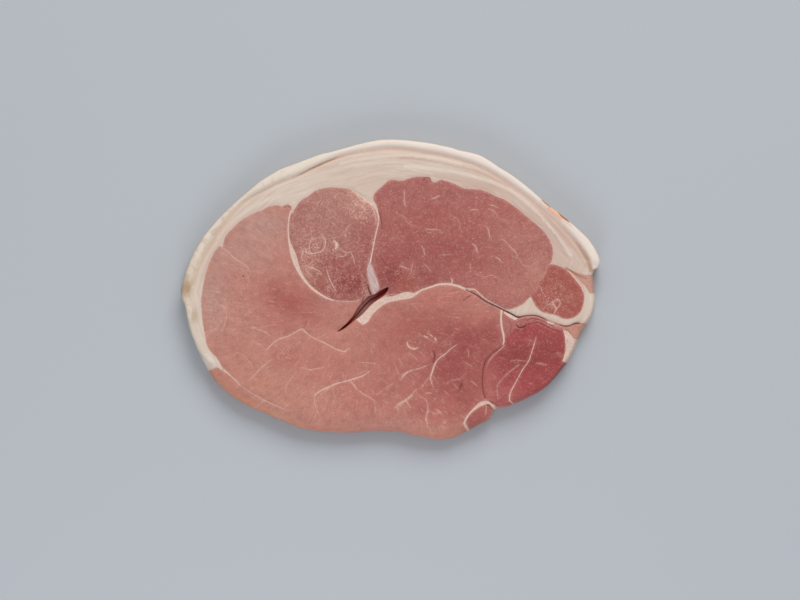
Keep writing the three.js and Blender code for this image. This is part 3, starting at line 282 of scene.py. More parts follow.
CRACKS = [  # seams that have parted, and nicks; the material paints them dark, which is painted shade in the gaps
    ([(38.1, -0.3, 0.09), (40.6, -1.6, 0.18), (43.3, -3, 0.21), (46.1, -5, 0.24), (48.6, -6.6, 0.21), (51.1, -7.8, 0.24), (53.6, -8.9, 0.27), (56.1, -10.1, 0.27), (58.6, -11.4, 0.27), (61.1, -12.7, 0.27), (63.1, -13.8, 0.33), (64.6, -14.2, 0.36)], 1),
    ([(64.6, -14.2, 0.33), (67.1, -13.6, 0.24), (70.1, -13.3, 0.21), (73.1, -13.4, 0.21), (75.6, -14.2, 0.21), (77.6, -15.2, 0.15)], 0.85),
    ([(77.6, -15.2, 0.12), (80.1, -16.4, 0.15), (82.6, -17.3, 0.15), (85.1, -18, 0.18)], 0.55),
    ([(85.1, -18, 0.21), (87.6, -18.7, 0.24), (90.1, -18.4, 0.18)], 0.85),
    ([(90.6, -18.1, 0.15), (92.1, -17.5, 0.39), (94.1, -17.2, 0.42), (95.6, -17.4, 0.12)], 0.8),
    ([(56.8, -28, 0.15), (54.3, -29.9, 0.18), (51.6, -31.7, 0.21), (49.3, -34, 0.24), (47.6, -36.5, 0.27), (46.8, -39.3, 0.27), (46.4, -42.5, 0.27), (46.2, -45.5, 0.27), (46.3, -48.5, 0.27), (46.8, -51.5, 0.24), (47.6, -54.7, 0.18)], 0.75),
    ([(40.1, -3.5, 0.15), (38.1, -4.8, 0.18), (36.9, -5.7, 0.12)], 0.7),
    ([(63.4, -18, 0.18), (64.4, -19.2, 0.27), (66.1, -19.3, 0.27), (67.8, -18.5, 0.24)], 0.9),
    ([(63.8, -20.5, 0.18), (64, -22, 0.18)], 0.8),
    ([(67.4, -19.8, 0.15), (67.1, -21.5, 0.12)], 0.5),
    ([(21.8, -31.2, 0.18), (22.5, -33, 0.27), (22, -35.3, 0.24), (21.7, -37, 0.12)], 0.85),
    ([(34.9, -50.8, 0.18), (35.4, -48.8, 0.24), (35.9, -47.2, 0.15)], 0.8),
    ([(-43.1, -19.2, 0.15), (-42.4, -17.7, 0.18), (-41.7, -16.3, 0.12)], 0.6),
    ([(-5.2, 38, 0.15), (-4.5, 35.5, 0.21), (-4.2, 33, 0.27), (-3.7, 30, 0.12)], 0.65),
    ([(17.1, 54.8, 0.12), (18.4, 55.7, 0.18), (19.9, 55.1, 0.18), (20.3, 53.7, 0.12)], 0.5),
    ([(48.4, -58, 0.15), (49.9, -58.4, 0.27), (50.8, -59.7, 0.18)], 0.8),
    ([(50.1, -56.2, 0.15), (52.1, -57.4, 0.21), (54.1, -58.3, 0.15)], 0.6),
    ([(-11.1, 2.5, 0.15), (-10.6, 0, 0.33), (-9.6, -2.5, 0.48)], 0.85),
    ([(-52.9, 40.5, 0.15), (-51.4, 41.3, 0.27), (-49.9, 40.7, 0.18)], 0.45),
    ([(-4.6, 15.7, 0.12), (-3.1, 13.5, 0.18), (-1.4, 11, 0.12)], 0.45),
    ([(16.1, 5, 0.12), (17.3, 6.7, 0.18)], 0.4),
    ([(-73.4, 6.5, 0.24), (-73.1, 6.2, 0.24)], 0.8),
    ([(87.6, 10.6, 0.12), (90.1, 9.1, 0.24), (92.6, 7.6, 0.27), (95.1, 6.2, 0.24), (98.1, 5, 0.09)], 0.4),
    ([(68.6, -15.7, 0.12), (71.6, -14.9, 0.15), (75.1, -15.7, 0.15), (78.6, -17.3, 0.15), (81.6, -19, 0.09)], 0.5),
    ([(70.1, -17.7, 0.09), (73.6, -16.8, 0.15), (77.1, -18.2, 0.15), (80.6, -20, 0.15), (84.1, -21.5, 0.09)], 0.45),
    ([(59.1, -16, 0.09), (60.6, -18.5, 0.15), (60.1, -21, 0.15), (58.6, -23.5, 0.09)], 0.4),
    ([(-14, -7.4, 0.15), (-13.7, -5.7, 0.3), (-13.1, -4.1, 0.18)], 0.7),
]

POCKETS = [  # small closed areas of fat or gristle, and one painted glint
    ([(-17.6, -15.2), (-15.4, -14), (-13.4, -12.3), (-11.6, -10.3), (-9.7, -8.3), (-7.7, -6.5), (-5.4, -5), (-2.9, -4.1), (0.1, -3.6), (3.1, -3.1), (6.1, -1.9), (9.1, -1.4), (11.1, -1.9), (13.1, -2.1), (12.1, -3.7), (9.1, -4.9), (6.1, -5.4), (2.6, -6.1), (-0.4, -6.6), (-2.9, -7.8), (-4.9, -9.3), (-6.9, -11), (-8.7, -13), (-9.9, -14.8), (-10.7, -16.2), (-12.1, -17.3), (-13.7, -17.8), (-15.1, -16.7), (-16.4, -15.7)], "fat"),
    ([(-10.1, 13.7), (-9, 11.7), (-7.9, 9), (-6.8, 6), (-5.8, 3), (-5.2, 0.3), (-6.3, -1.3), (-8.1, -2.9), (-9.4, -1), (-10.2, 1.8), (-10.9, 5.2), (-11.5, 8.5), (-11.1, 11.5)], "tendon"),
    ([(86.9, -20.2), (88.6, -21), (90.4, -22.7), (91.9, -24.8), (93.1, -26.5), (92.2, -29.2), (90.9, -31.8), (89.1, -34.4), (87.1, -37.2), (86, -38.2), (86.5, -35.3), (87.5, -32), (87.9, -28.5), (87.6, -24.8)], "fat"),
    ([(56.9, -11.2), (59.1, -11.9), (61.6, -13.2), (63.6, -14.7), (62.9, -15.6), (60.6, -14.6), (58.6, -13.4), (57.4, -12.5)], "fat"),
    # painted highlight: this narrow pale streak on the parted seam stands for a glint on the wet surface, drawn as fat
    ([(78.3, -15.8), (80.3, -16), (82.9, -17.2), (81.6, -17.7), (79.1, -17.1)], "fat"),
]

FLESH = [  # orange-pink flesh that shows at the right end
    [(87.9, 10.8), (91.1, 9.4), (94.6, 7.9), (98.1, 7), (101.8, 6.9), (102.4, 2.5), (102.4, -3.8), (100.3, -2.5), (98.4, 0.3), (96, 3.3), (93.1, 6.2), (90.3, 8.5)],
    [(89.9, -19.3), (92.1, -18.8), (94.4, -18.8), (95.8, -20), (94.3, -23), (93.4, -25.8), (92.1, -24.5), (90.6, -22.3)],
]

MUSCLES = {
    "round": [(-48.7, 37.8), (-46.9, 41), (-45.3, 43.2), (-42.9, 45.2), (-40.9, 46.1), (-39.4, 47.5), (-36.9, 49.2), (-33.9, 50.2), (-29.9, 50.7), (-24.9, 50.6), (-20.9, 50.1), (-18.4, 48.9), (-15.9, 47.2), (-13.4, 45.6), (-10.9, 44.2), (-8.4, 42.8), (-6.9, 40.5), (-5.8, 37.5), (-5.6, 34.5), (-6.2, 30.5), (-7.2, 26.5), (-7.9, 23), (-8.6, 19.5), (-9.3, 16), (-10.6, 12.5), (-11.4, 9), (-11.2, 5.5), (-10.7, 2), (-10.7, -1), (-12.7, -3.7), (-15.9, -5.7), (-19.9, -6.3), (-24.4, -6.1), (-28.4, -5.5), (-31.7, -4.3), (-34.6, -2.5), (-37.2, -0.7), (-39.6, 1.5), (-41.7, 4), (-43.6, 6.8), (-45.3, 10.2), (-46.6, 13.5), (-47.9, 17.2), (-49.2, 20.8), (-50.1, 24), (-50.7, 27.5), (-50.7, 31.5), (-50.3, 35.5), (-49.6, 37.8)],
    "back": [(-8.2, 43), (-8.2, 45.5), (-7.8, 47.5), (-6.4, 49.2), (-2.9, 52.2), (0.3, 54.5), (5.1, 54.2), (9.1, 55.2), (15.1, 56.2), (19.8, 55.6), (21.9, 53.4), (25.6, 54.9), (31.1, 53.5), (35.6, 51.4), (41.6, 50.5), (48.6, 49.2), (54.1, 46.3), (59.6, 43.7), (65.1, 39.7), (71.1, 34.7), (76.6, 29.7), (80.3, 24.5), (81.9, 18.5), (80.7, 13.5), (78.4, 9.5), (76.6, 6), (74.6, 2.2), (72.6, -1.2), (70.3, -3.8), (67.1, -7), (61.1, -9.9), (57.6, -10.3), (54.6, -8.7), (51.1, -6.9), (47.6, -4.8), (44.6, -2.2), (40.1, -0.8), (37.1, 0.3), (34.1, 1.5), (28.1, 2.5), (24.1, 2.2), (21.1, 1.2), (18.1, 0.2), (15.3, -0.8), (13.1, -2.1), (9.1, -1.4), (6.1, -1.9), (3.1, -3.1), (0.1, -3.6), (-1.4, -0.9), (-1.1, 0.9), (-2.9, 0.4), (-5.2, 0.3), (-5.8, 3), (-7.9, 9), (-9.8, 13), (-9.3, 16), (-8.6, 19.5), (-7.9, 23), (-7.2, 26.5), (-6.2, 30.5), (-5.6, 34.5), (-6.1, 38.5)],
    "small": [(79.6, 12.3), (82.6, 12.2), (85.1, 11.4), (87.6, 10.2), (89.8, 8.7), (91.8, 6.5), (93.8, 4.2), (95.6, 1.8), (96.8, -0.8), (97.2, -3.8), (96.9, -7), (96.1, -9.8), (94.7, -12.2), (92.6, -14), (89.6, -15), (86.6, -14.8), (83.8, -13.5), (80.6, -12.5), (77.6, -12), (75.1, -10.8), (73.1, -8.9), (71.6, -6), (70.3, -3.8), (72.6, -1.2), (74.6, 2.2), (76.6, 6), (78.4, 9.5)],
    "strip": [(56.9, -11.5), (60.1, -13.3), (63.1, -15), (67.1, -14.2), (70.1, -13.8), (74.1, -14.4), (78.1, -16), (82.1, -17.6), (86.1, -19.2), (88.1, -20.1), (87.6, -22.2), (85.1, -20.5), (81.1, -19), (77.1, -16.8), (73.1, -15.5), (69.1, -16.5), (65.1, -18.8), (62.1, -20.5), (60.1, -22.5), (57.6, -24.5), (56.9, -28), (56.1, -20.5)],
    "deep": [(56.9, -28), (57.6, -24.5), (60.1, -22.5), (62.1, -20.5), (65.1, -18.8), (69.1, -16.5), (73.1, -15.5), (77.1, -16.8), (81.1, -19), (85.1, -20.5), (87.6, -22.2), (87.6, -24.8), (87.9, -28.5), (87.5, -32), (86.5, -35.3), (86, -38.2), (84.1, -41.5), (81.6, -44.5), (78.6, -47.5), (75.1, -50.3), (71.1, -52.7), (67.1, -54.6), (63.1, -56.2), (59.1, -57.7), (55.6, -59), (53.1, -57.8), (50.1, -56.2), (47.6, -55), (46.8, -51.5), (46.3, -48.5), (46.2, -45.5), (46.4, -42.5), (46.8, -39.3), (47.6, -36.5), (49.3, -34), (51.6, -31.7), (54.3, -29.9)],
    "nub": [(35.6, -72), (37.3, -69.3), (38.3, -66.2), (40.1, -63.2), (42.6, -60.7), (45.4, -59), (48.1, -58.2), (50.1, -59), (51.4, -61.2), (50.3, -63.2), (48.3, -65.2), (44.6, -66.9), (41.1, -69), (38.1, -70.7)],
}

SLIT = [  # middle of the slit the bone came out of, with its half width
    (-26.1, -21.3, 0.1), (-23.9, -19.9, 0.4), (-21.4, -17.9, 0.65), (-18.9, -15.5, 0.85), (-16.8, -13.4, 1.3),
    (-14.9, -11, 1.8), (-13.1, -8.9, 1.95), (-11.4, -7, 2), (-9.6, -5.4, 2.05), (-7.6, -4.4, 1.6), (-5.6, -3.2, 1.5),
    (-3.6, -1.8, 1.45), (-1.9, -0.4, 0.95), (-0.9, 0.8, 0.2),
]

STAINS = [  # red-brown nicks on the rind's outer edge: x, y of both ends, half width, strength
    (75.8, 44.7, 80.4, 40.8, 0.34, 0.75),
    (83.3, 39.2, 89.9, 33.2, 0.6, 0.9),
]

BLUSHES = [  # orange blush round them: x, y of both ends, reach, strength
    (75.6, 44.3, 79.6, 41, 1.1, 0.55),
    (79.6, 40.5, 85.1, 36, 1.9, 0.85),
    (85.1, 35.5, 90.6, 31.7, 1.2, 0.5),
]

MARBLE_SPOTS = [  # where the web of fat is denser: x, y, reach x, reach y, how much
    (-12.9, 41, 7.5, 8, 1.3),
    (-18.9, 45.5, 7, 4.5, 0.5),
    (-38.4, 20.5, 7, 7.5, 1),
    (-24.9, 18.5, 7, 5, 0.4),
    (-40.9, 9.5, 4.5, 6, 0.7),
    (-29.9, 2, 3.5, 6, 0.5),
    (-11.9, -1.5, 3.5, 4.5, 0.7),
    (81.1, -5.5, 8, 8, 1),
    (50.1, 41.5, 8, 5, 0.5),
    (5.1, 10.5, 7, 4, 0.4),
    (70.1, -18.5, 13, 3.5, 0.2),
    (-80.9, -11.5, 13, 11, 0.9),
    (-49.9, -31.5, 15, 8, 0.5),
    (-68.9, 13.5, 9, 7, 0.4),
    (-34.9, -53.5, 20, 10, 0.5),
    (5.1, -53, 18, 11, 0.5),
    (20.1, -30.5, 12, 10, 0.4),
    (20.1, -68, 20, 4.5, 0.5),
]

WALL_FILM_AND_PAINTED_LIGHT = [  # the thin film over the wall on the lean side, with painted light in it: x, y on the rim, strength, colour
    (102.4, 2.5, 0.0, (225, 156, 129)),
    (100.3, -16, 0.1, (231, 198, 167)),
    # painted highlight: the bright orange here stands for a shine on the wet wall
    (95.8, -21.2, 0.5, (240, 179, 137)),
    (93.9, -26.5, 0.7, (216, 156, 123)),
    # painted shade: the dark red-brown from here to 75.6, -51.2 is the lower right wall in shade
    (91.8, -32, 0.75, (150, 108, 98)),
    (87.6, -39.5, 0.75, (132, 84, 80)),
    (82.3, -45.5, 0.6, (140, 82, 78)),
    (75.6, -51.2, 0.35, (168, 90, 84)),
    (67.4, -55.5, 0.3, (184, 104, 96)),
    (59.4, -58.8, 0.4, (196, 120, 108)),
    (53.1, -60.7, 0.6, (220, 180, 160)),
    (48.8, -66, 0.5, (202, 136, 118)),
    (41.4, -69.9, 0.4, (184, 104, 92)),
    (35.4, -73, 0.44, (220, 150, 126)),
    (28.6, -75.2, 0.58, (228, 152, 128)),
    (20.1, -74.8, 0.58, (226, 150, 128)),
    (5.1, -72, 0.53, (214, 148, 134)),
    (-14.9, -71.8, 0.53, (218, 152, 134)),
    (-29.9, -71.8, 0.55, (224, 150, 126)),
    (-44.9, -69.6, 0.55, (236, 158, 126)),
    (-52.9, -66.5, 0.44, (236, 176, 146)),
    (-63.9, -61.8, 0.56, (233, 155, 122)),
    (-74.9, -56.4, 0.55, (231, 153, 120)),
    (-85.9, -47.7, 0.53, (229, 158, 126)),
    (-90.4, -42, 0.49, (225, 158, 128)),
    (-93.4, -37.5, 0.4, (227, 189, 158)),
]

SLIT_PAINTED_SHADE = [  # colour inside the slit at each x: painted shade of the slit, darker red-brown than the lean and lighter in the middle
    (-25.9, 150, 56, 50),
    (-19.9, 152, 60, 54),
    (-16.9, 146, 96, 90),
    (-11.9, 152, 106, 100),
    (-8.4, 138, 84, 80),
    (-5.9, 126, 52, 52),
    (-0.9, 134, 54, 54),
]

# ---------------------------------------------------------------- colours, sRGB 0 to 255
LEAN_GAIN = (1.015, 0.95, 0.945)
LEAN_BASE = {"leg": (186, 130, 118), "round": (169, 116, 107), "back": (168, 105, 99), "small": (164, 92, 83), "strip": (170, 107, 101), "deep": (163, 77, 79), "nub": (166, 96, 90)}
BUSY = {"leg": 0.35, "round": 1.0, "back": 0.95, "small": 0.75, "strip": 0.7, "deep": 0.65, "nub": 0.8}
MARBLING = {"leg": 0.35, "round": 0.95, "back": 0.35, "small": 0.5, "strip": 0.5, "deep": 0.1, "nub": 0.3}
FAT_BASE, RIND_BASE = (212, 190, 175), (232, 217, 206)
TINTS = {
    "deep_red": (138, 66, 66), "wine": (153, 80, 77), "red": (163, 91, 85), "rose": (175, 106, 99),
    "blush": (179, 121, 111), "coral": (189, 121, 109), "salmon": (189, 139, 126), "grey": (185, 150, 139),
    "orange": (192, 140, 122), "brown": (166, 112, 98), "cream": (218, 203, 189), "fat_pink": (202, 173, 161),
    "fat_tan": (205, 182, 166), "hide_tan": (208, 190, 168), "hide_grey": (220, 205, 188),
    "hide_pale": (226, 212, 197), "rust": (164, 90, 77), "hide_brown": (172, 142, 114), "lilac": (182, 136, 130),
    "bright": (232, 218, 206),
}
PATCHES = [  # soft areas of another tint: muscle, x, y, reach x, reach y, tint, strength
    # painted sheen: this grey patch stands for the greyish shine on the cut face at the upper left
    ("leg", -63.9, 32, 13, 7.5, "grey", 0.85),
    ("leg", -75.9, 18.5, 13, 9, "grey", 0.55),
    ("leg", -88.9, -3.5, 6, 17, "grey", 0.8),
    ("leg", -48.9, -7, 11, 7.5, "red", 0.8),
    ("leg", -56.9, -1.5, 6, 5, "red", 0.5),
    ("leg", -38.9, -14.5, 7, 4, "rose", 0.4),
    ("leg", -69.9, -20.5, 17, 10, "salmon", 0.35),
    ("leg", -67.4, -44.5, 22, 9, "orange", 0.6),
    ("leg", -54.9, -17.5, 7, 4.5, "rose", 0.5),
    ("leg", -51.9, -33.5, 9, 4.5, "rose", 0.5),
    ("leg", -38.9, -30.5, 8, 4.5, "blush", 0.4),
    ("leg", -28.9, -39.5, 13, 11, "coral", 0.45),
    ("leg", -34.9, -56.5, 18, 6, "orange", 0.5),
    ("leg", -18.9, -54.5, 12, 7, "coral", 0.55),
    ("leg", 5.1, -23, 15, 13, "red", 0.55),
    ("leg", 4.1, -47.5, 17, 11, "rose", 0.6),
    ("leg", 15.1, -15.5, 7.5, 5.5, "red", 0.5),
    ("leg", 29.1, -4.5, 13, 4.5, "coral", 0.9),
    ("leg", 25.1, -21.5, 8.5, 6.5, "red", 0.6),
    ("leg", 17.6, -36.5, 10, 6, "rose", 0.6),
    ("leg", 32.6, -41.5, 13, 17, "wine", 0.9),
    ("leg", 25.1, -59.5, 9, 7, "rose", 0.8),
    ("leg", 40.1, -28, 9, 10, "wine", 0.9),
    ("leg", 46.1, -14.5, 7, 4, "coral", 0.6),
    ("leg", 50.6, -23.5, 5.5, 7, "wine", 0.9),
    ("leg", 38.6, -53.5, 7, 7, "red", 0.7),
    ("leg", 45.1, -38, 7, 11, "red", 0.6),
    ("leg", 20.1, -56.5, 8, 6, "rose", 0.7),
    ("leg", 20.1, -70.5, 20, 3.5, "orange", 0.5),
    ("leg", -69.9, -56.5, 20, 4, "orange", 0.5),
    ("round", -19.9, 3, 9.5, 6, "deep_red", 0.95),
    ("round", -26.9, 12.5, 14, 6, "wine", 0.6),
    ("round", -11.9, 25.5, 5.5, 12, "red", 0.5),
    ("round", -33.9, 42, 13, 8, "lilac", 0.35),
    ("round", -24.9, 47.5, 11, 4, "salmon", 0.5),
    ("round", -13.9, 41.5, 6, 5, "salmon", 0.5),
    ("round", -42.4, 16.5, 4, 8, "blush", 0.4),
    ("round", -37.9, 5, 6, 4.5, "brown", 0.85),
    ("round", -40.9, 9.5, 3, 4.5, "orange", 0.4),
    ("round", -29.9, -1.5, 8, 4, "wine", 0.7),
    ("back", 1.6, 7, 6.5, 5.5, "deep_red", 0.85),
    ("back", 7.6, 4, 4.5, 3, "rust", 0.9),
    ("back", -0.9, 13.5, 4.5, 5, "wine", 0.4),
    ("back", 10.1, 18.5, 11, 6, "wine", 0.35),
    ("back", 28.1, 18.5, 11, 6, "wine", 0.6),
    ("back", 19.1, 7, 6, 4, "wine", 0.6),
    ("back", 11.1, 9.5, 4, 3.5, "blush", 0.35),
    ("back", 36.1, 28.5, 13, 7, "red", 0.5),
    ("back", 5.1, 28.5, 10, 7, "red", 0.4),
    ("back", 21.1, 35.5, 10, 6, "red", 0.5),
    ("back", 55.1, 38, 12, 5, "rose", 0.7),
    ("back", 65.1, 26.5, 11, 9, "blush", 0.85),
    ("back", 75.1, 18.5, 6, 9, "blush", 0.8),
    ("back", 56.1, 2.5, 11, 7, "blush", 0.7),
    ("back", 66.1, 0.5, 8, 8, "blush", 0.7),
    ("back", 73.6, 9.5, 4, 7, "salmon", 0.7),
    ("back", 40.1, 12.5, 13, 6, "red", 0.4),
    ("deep", 65.1, -33, 9, 6, "deep_red", 0.8),
    ("deep", 78.6, -30.5, 8, 7, "deep_red", 0.6),
    ("deep", 50.1, -45.5, 3.5, 10, "rose", 0.95),
    ("deep", 57.6, -52.5, 8, 4, "rose", 0.7),
    ("deep", 55.1, -36.5, 6, 5, "wine", 0.5),
]
RIM_PATCHES = [  # the same for the fat and the rind
    ("fat", -49.9, 49.5, 30, 10, "cream", 0.7),
    ("fat", 20.1, 63, 20, 5, "cream", 0.5),
    ("fat", 79.1, 26.5, 20, 20, "fat_pink", 0.8),
    ("fat", 50.1, 52.5, 17, 5, "fat_pink", 0.6),
    ("leg", 93.1, -20.5, 3.5, 4, "orange", 0.5),
    ("fat", -92.4, 15.5, 9, 13, "fat_tan", 0.6),
    ("fat", -96.4, -13.5, 6, 17, "cream", 0.9),
    ("fat", -87.9, -36.5, 6, 6, "bright", 0.8),
    ("fat", 100.1, -3.5, 5, 13, "cream", 0.7),
    ("fat", 91.6, -25.5, 4, 7, "cream", 0.7),
    ("fat", 10.1, -2, 4, 2, "cream", 0.6),
    ("fat", -9.9, 53.5, 13, 5, "fat_tan", 0.5),
    ("rind", -99.9, 4.5, 12, 18, "hide_tan", 0.6),
    ("rind", -101.4, 0.5, 2.5, 3.5, "hide_brown", 0.9),
    ("fat", -97.9, -13.5, 2, 3, "hide_brown", 0.5),
    ("fat", -101.4, -0.5, 2, 3, "hide_brown", 0.6),
    ("rind", -92.9, 21.5, 12, 12, "hide_pale", 0.5),
    ("rind", -78.9, 42, 18, 11, "hide_grey", 0.6),
    ("rind", -56.9, 58.5, 22, 11, "hide_pale", 0.8),
    ("rind", -27.4, 68.5, 23, 8, "hide_pale", 0.5),
]
FLOOR_COLOUR = (0.475, 0.505, 0.545)
WORLD_COLOUR, WORLD_STRENGTH = ((0.97, 0.985, 1.0), 0.45)
LIGHTS = [  # name, place in m, diameter, watts, colour, aim
    ('key', (0.45, 1.75, 1.5), 1.5, 38.0, (1.0, 0.985, 0.965), (0, 0, 0)),
    ('fill', (-0.1, -0.62, 0.5), 0.5, 1.6, (0.97, 0.985, 1.0), (0, -0.05, 0)),
]

# ---------------------------------------------------------------- curves, distances and noise
def catmull(points, step, closed=False, sub=10):
    """A centripetal Catmull-Rom curve through points, laid out again every step mm. Further columns, such as a half width, ride along."""
    p = np.asarray(points, float)
    q = np.vstack([p[-1:], p, p[:2]]) if closed else np.vstack([2 * p[:1] - p[1:2], p, 2 * p[-1:] - p[-2:-1]])
    out = []
    for i in range(len(p) if closed else len(p) - 1):
        a, b, c, d = q[i:i + 4]
        t0 = 0.0
        t1 = t0 + max(np.hypot(*(b - a)[:2]), 1e-6) ** 0.5
        t2 = t1 + max(np.hypot(*(c - b)[:2]), 1e-6) ** 0.5
        t3 = t2 + max(np.hypot(*(d - c)[:2]), 1e-6) ** 0.5
        t = np.linspace(t1, t2, sub, endpoint=False)[:, None]
        a1 = (t1 - t) / (t1 - t0) * a + (t - t0) / (t1 - t0) * b
        a2 = (t2 - t) / (t2 - t1) * b + (t - t1) / (t2 - t1) * c
        a3 = (t3 - t) / (t3 - t2) * c + (t - t2) / (t3 - t2) * d
        b1 = (t2 - t) / (t2 - t0) * a1 + (t - t0) / (t2 - t0) * a2
        b2 = (t3 - t) / (t3 - t1) * a2 + (t - t1) / (t3 - t1) * a3
        out.append((t2 - t) / (t2 - t1) * b1 + (t - t1) / (t2 - t1) * b2)
    out.append(p[:1] if closed else p[-1:])
    r = np.vstack(out)
    s = np.r_[0, np.cumsum(np.hypot(*np.diff(r[:, :2], axis=0).T))]
    n = max(1, int(round(s[-1] / step)))
    at = np.linspace(0, s[-1], n + 1)
    r = np.stack([np.interp(at, s, r[:, k]) for k in range(r.shape[1])], 1)
    return r[:-1] if closed else r


def segments(lines, closed=False):
    """The segments of several lines as two arrays, each row x, y and the further columns."""
    a, b = [], []
    for line in lines:
        line = np.asarray(line, float)
        a.append(line if closed else line[:-1])
        b.append(np.roll(line, -1, 0) if closed else line[1:])
    return np.vstack(a), np.vstack(b)


def to_segments(p, a, b, width):
    """Distance of every point to every segment, less its half width, and where along it the foot falls."""
    ab = (b - a)[:, :2]
    ap = p[:, None, :] - a[None, :, :2]
    t = np.clip((ap * ab).sum(2) / np.maximum((ab ** 2).sum(1), 1e-12), 0, 1)
    d = np.hypot(ap[..., 0] - t * ab[:, 0], ap[..., 1] - t * ab[:, 1])
    if width is not None:
        d = d - (a[:, width] + t * (b - a)[:, width])
    return d, t


def nearest(points, a, b, width=None):
    """For each point, the least distance to the segments, less the half width in column `width`, and the interpolated columns there."""
    best = np.empty(len(points))
    found = np.empty((len(points), a.shape[1]))
    size = 6.0
    cell = np.floor(points / size).astype(int)
    order = np.lexsort((cell[:, 1], cell[:, 0]))
    change = np.flatnonzero(np.any(np.diff(cell[order], axis=0) != 0, axis=1)) + 1
    for rows in np.split(order, change):
        centre = (cell[rows[0]] + 0.5) * size
        d, _ = to_segments(centre[None], a, b, width)
        near = np.flatnonzero(d[0] <= d[0].min() + size * 1.4143 + 0.5)
        d, t = to_segments(points[rows], a[near], b[near], width)
        k = d.argmin(1)
        pick = np.arange(len(rows))
        best[rows] = d[pick, k]
        found[rows] = a[near[k]] + t[pick, k][:, None] * (b - a)[near[k]]
    return best, found


def inside(points, ring):
    hit = np.zeros(len(points), bool)
    low, high = ring.min(0), ring.max(0)
    rows = np.flatnonzero(np.all((points >= low) & (points <= high), axis=1))
    x, y = points[rows, 0], points[rows, 1]
    odd = np.zeros(len(rows), bool)
    for (ax, ay), (bx, by) in zip(ring, np.roll(ring, -1, 0)):
        if ay != by:
            odd ^= ((ay > y) != (by > y)) & (x < ax + (y - ay) * (bx - ax) / (by - ay))
    hit[rows] = odd
    return hit


def signed(points, ring):
    """Distance to a closed ring, negative inside it."""
    d, _ = nearest(points, *segments([ring], True))
    return np.where(inside(points, ring), -d, d)


def smooth(a, b, v):
    t = np.clip((np.asarray(v, float) - a) / (b - a), 0, 1)
    return t * t * (3 - 2 * t)


def noise(x, y, size, seed, octaves=3):
    """Smooth noise from -1 to 1 whose largest bumps are about size mm."""
    total, amp, norm = 0.0, 1.0, 0.0
    for k in range(octaves):
        table = np.random.RandomState(seed * 31 + k).uniform(-1, 1, (256, 256))
        u, v = x / size * 2 ** k + 57.3 * k, y / size * 2 ** k - 31.7 * k
        iu, iv = np.floor(u).astype(int), np.floor(v).astype(int)
        fu, fv = u - iu, v - iv
        fu, fv = fu ** 3 * (fu * (6 * fu - 15) + 10), fv ** 3 * (fv * (6 * fv - 15) + 10)
        g = lambda i, j: table[(iu + i) % 256, (iv + j) % 256]
        total = total + amp * ((g(0, 0) * (1 - fu) + g(1, 0) * fu) * (1 - fv) + (g(0, 1) * (1 - fu) + g(1, 1) * fu) * fv)
        norm += amp
        amp *= 0.55
    return total / norm


def linear(rgb):
    c = np.asarray(rgb, float) / 255
    return np.where(c <= 0.04045, c / 12.92, ((c + 0.055) / 1.055) ** 2.4)


# ---------------------------------------------------------------- the outline and what lies in it
rim_fine = catmull(OUTLINE, 0.25, True)
low, high = rim_fine.min(0), rim_fine.max(0)
fit = np.array([LENGTH, WIDTH]) / (high - low)
middle = (high + low) / 2


def place(points):
    p = np.array(points, float)
    p[:, :2] = (p[:, :2] - middle) * fit
    return p


outline = catmull(place(OUTLINE), RIM_STEP, True)
B = len(outline)
outline_segments = segments([np.c_[outline, np.arange(B)]], True)
outline_segments[1][-1, 2] = B            # the last segment closes the ring

groove = catmull(place(GROOVE), 0.6)
groove_fine = catmull(place(GROOVE_LOOK), 0.6)       # x, y, half width, strength
cap = [catmull(place(line), 0.7) for line in CAP]
fat_ring = np.vstack([catmull(place(FAT_RING_IN), 0.7), place(FAT_RING_OUT)])


def drawn(lines, step):
    """Each line as rows of x, y, half width, strength."""
    smooth_lines = [(catmull(place(points), step), s) for points, s in lines]
    return [np.c_[line, np.full(len(line), s)] for line, s in smooth_lines]


seam_lines = drawn(SEAMS, 0.55)
crack_lines = drawn(CRACKS, 0.5)
fat_lines = drawn(FAT_LINES, 0.8)
pockets = [(catmull(place(ring), 0.5, True), kind) for ring, kind in POCKETS]
flesh = [catmull(place(ring), 0.6, True) for ring in FLESH]
regions = {name: catmull(place(ring), 0.8, True) for name, ring in MUSCLES.items()}

slit_mid = catmull(place(SLIT), 0.6)
slit_mid[:, 2] = np.maximum(slit_mid[:, 2], 0.12)


def slit_ring(share, wider=0.0):
    """Both banks of the bone slit, anticlockwise, at a share of the width at the top."""
    m = slit_mid
    t = np.gradient(m[:, :2], axis=0)
    n = np.c_[-t[:, 1], t[:, 0]] / np.hypot(*t.T)[:, None]
    w = np.maximum(m[:, 2] * share + wider, 0.05)[:, None]
    return np.vstack([m[:, :2] - n * w, (m[:, :2] + n * w)[::-1]])


slit_top = slit_ring(1.0, 0.15)
S = len(slit_top)


def upper_face(x, y):
    z = THICKNESS + 0.4 * np.sin(x / 27 + 0.8) * np.cos(y / 24 - 0.5) + 0.2 * np.sin((x + 1.4 * y) / 17)
    for cx, cy, rx, ry, h in SWELLS:
        z = z + h * np.exp(-(((x - cx) / rx) ** 2) - ((y - cy) / ry) ** 2)
    return z


